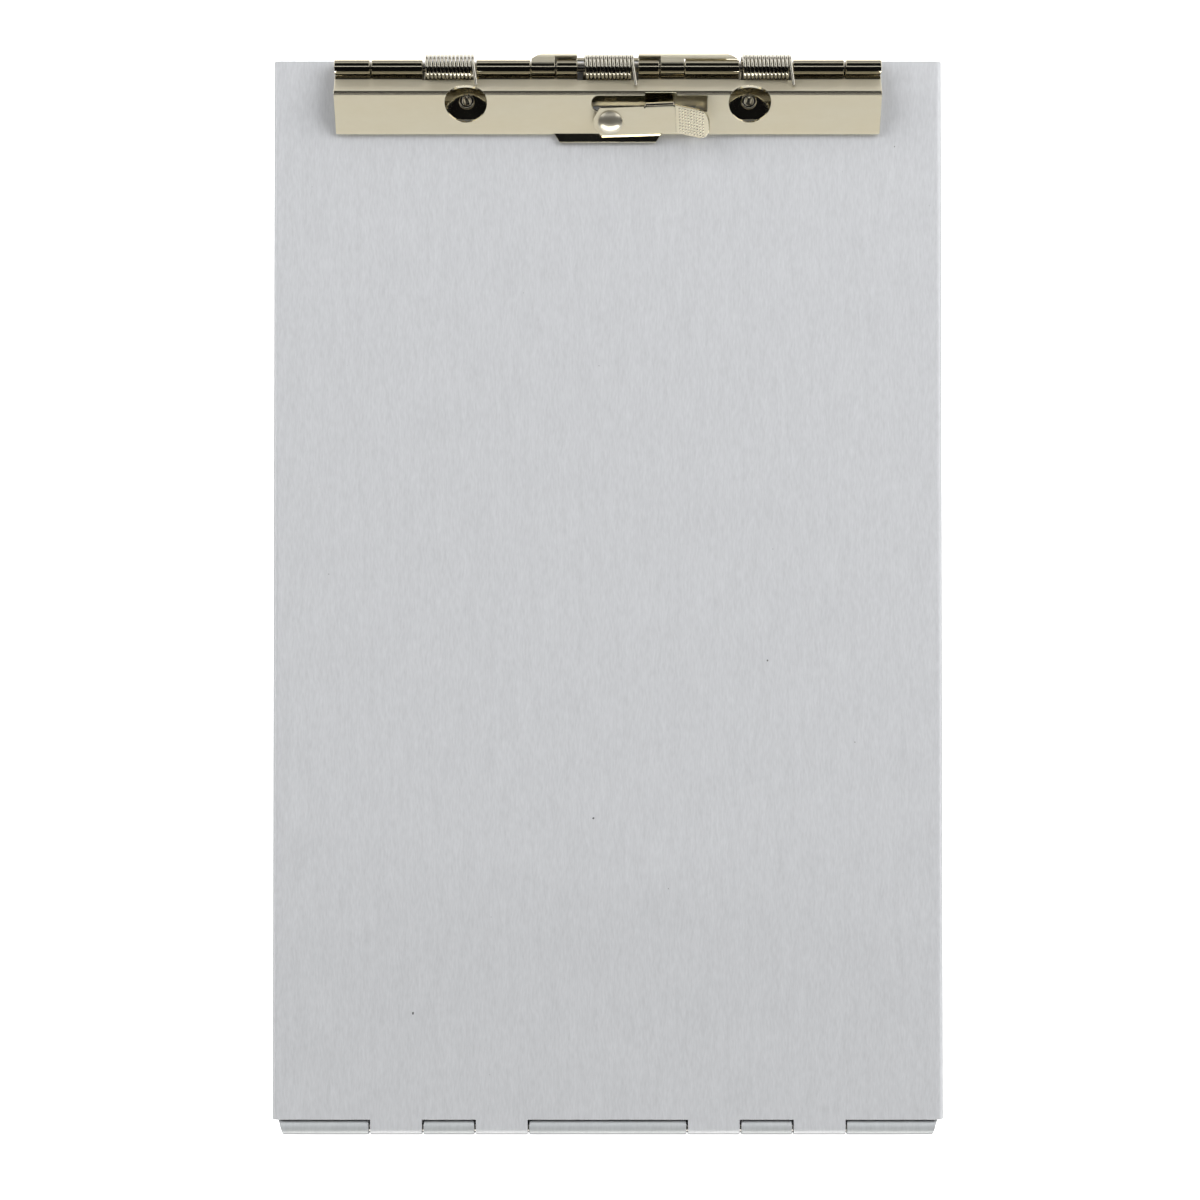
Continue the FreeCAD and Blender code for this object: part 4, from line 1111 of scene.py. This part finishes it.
def make_spring(name, first_x):
    """One wire: lower leg, coil and upper leg, as one line of points."""
    low, high = math.radians(low_start), math.radians(high_end) + coil_turns * 2 * math.pi
    lead = coil_pitch / (2 * math.pi)
    t = np.linspace(low, high, 820)
    coil = np.stack([first_x + lead * (t - low), clip_y + coil_radius * np.cos(t),
                     clip_z + coil_radius * np.sin(t)], 1)
    tangent = np.stack([np.full_like(t, lead), -coil_radius * np.sin(t),
                        coil_radius * np.cos(t)], 1)
    tangent /= np.linalg.norm(tangent, axis=1)[:, None]
    radial = np.stack([0 * t, np.cos(t), np.sin(t)], 1)
    low_reach = np.linspace(low_leg, 0.25, 12)[:, None]
    high_reach = np.linspace(0.25, high_leg, 12)[:, None]
    leaning = tangent[-1] + leg_lean * across
    line = np.concatenate([coil[0] - low_reach * tangent[0], coil, coil[-1] + high_reach * leaning])
    sides = np.concatenate([np.tile(radial[0], (12, 1)), radial, np.tile(radial[-1], (12, 1))])
    return wire(name, line, sides, wire_radius)


for word, first_x in (("left", -62.0), ("middle", -7.88), ("right", 45.65)):
    spring = finish_piece(make_spring("spring_wire_" + word, first_x), "nickel_wire", None,
                          "spring_wire", "jaw_spring_" + word)
    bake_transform(spring)

# %% [markdown]
# ## Floor, light and camera
#
# The photograph looks straight down, so the camera stands over the middle and a small shift
# frames the object. Polished metal shows what is round it. Low, wide panels in front and behind
# light the jaw's two faces, the dark sky between them makes the barrels black, and a thin strip
# overhead draws the fine line along them. Two side panels light the matt plate. Most of their
# light comes from a fill that metal doesn't mirror, so that the clip isn't burnt out when it is
# seen from elsewhere.

# %% Stage
def emission_material(name, colour, strength):
    """A matt white that also glows, so that the floor stays plain white."""
    made = bpy.data.materials.new(name)
    made.use_nodes = True
    shader = made.node_tree.nodes["Principled BSDF"]
    shader.inputs["Base Color"].default_value = colour
    shader.inputs["Roughness"].default_value = 1.0
    shader.inputs["Specular IOR Level"].default_value = 0.0
    shader.inputs["Emission Color"].default_value = (1.0, 1.0, 1.0, 1.0)
    shader.inputs["Emission Strength"].default_value = strength
    return made


def make_floor():
    """A square (x, y) = (+-size, +-size) just under the tray."""
    size, height = 20000.0, -0.02
    corners = np.array([(-size, -size, height), (size, -size, height), (size, size, height),
                        (-size, size, height)])
    floor = make_mesh("floor", corners, [np.array([[0, 1, 2, 3]])],
                      [np.tile(upright, (1, 4, 1))])
    floor.data.materials.append(emission_material("floor_white", (0.9, 0.9, 0.9, 1.0), 0.85))


def area(name, location, aim, size, power, colour=(1.0, 1.0, 1.0), mirrored=True):
    """A rectangular soft box at a place, facing a point. Polished metal shows it if mirrored."""
    lamp = bpy.data.lights.new(name, "AREA")
    lamp.shape, lamp.size, lamp.size_y = "RECTANGLE", size[0], size[1]
    lamp.energy, lamp.color = power, colour
    obj = bpy.data.objects.new(name, lamp)
    obj.location, obj.visible_glossy = location, mirrored
    obj.rotation_euler = Vector(np.subtract(aim, location)).to_track_quat("-Z", "Y").to_euler()
    bpy.context.scene.collection.objects.link(obj)


make_floor()
area("front_panel", (0.0, -1.40, 0.29), (0, 0.16, 0.02), (2.8, 0.34), 21.0, (1.0, 0.985, 0.94))
area("rear_panel", (0.0, 1.55, 0.22), (0, 0.17, 0.02), (3.0, 0.36), 0.95, (1.0, 0.97, 0.95))
area("rear_sky", (0.0, 1.40, 0.75), (0, 0.17, 0.02), (3.0, 0.62), 2.65, (1.0, 0.98, 0.95))
area("top_strip", (0.0, 0.14, 1.60), (0, 0.17, 0.02), (2.4, 0.2), 1.4)
for word, x, power in (("left", -1.35, 32.0), ("right", 1.35, 44.5)):
    area(word + "_panel", (x, 1.00, 1.15), (0, 0.1, 0.02), (2.1, 1.5), 0.4 * power)
    area(word + "_fill", (x, 1.00, 1.15), (0, 0.1, 0.02), (2.1, 1.5), 0.88 * power, mirrored=False)

world = bpy.data.worlds.new("studio")
bpy.context.scene.world = world
world.use_nodes = True
world.node_tree.nodes["Background"].inputs["Color"].default_value = (0.004, 0.004, 0.0045, 1.0)
world.node_tree.nodes["Background"].inputs["Strength"].default_value = 1.0

camera_data = bpy.data.cameras.new("camera")
camera_data.lens, camera_data.sensor_width = 74.72, 36.0
camera_data.shift_x, camera_data.shift_y = -0.0065, -0.0064
camera_data.clip_end = 20.0
camera = bpy.data.objects.new("camera", camera_data)
camera.location = (0.0, -0.014, 0.8647)
camera.rotation_euler = (0.01503, 0.0, 0.0)
bpy.context.scene.collection.objects.link(camera)
bpy.context.scene.camera = camera
bpy.context.scene.view_settings.view_transform = "Standard"
print("camera at", tuple(camera.location), "with a lens of", camera_data.lens, "mm")
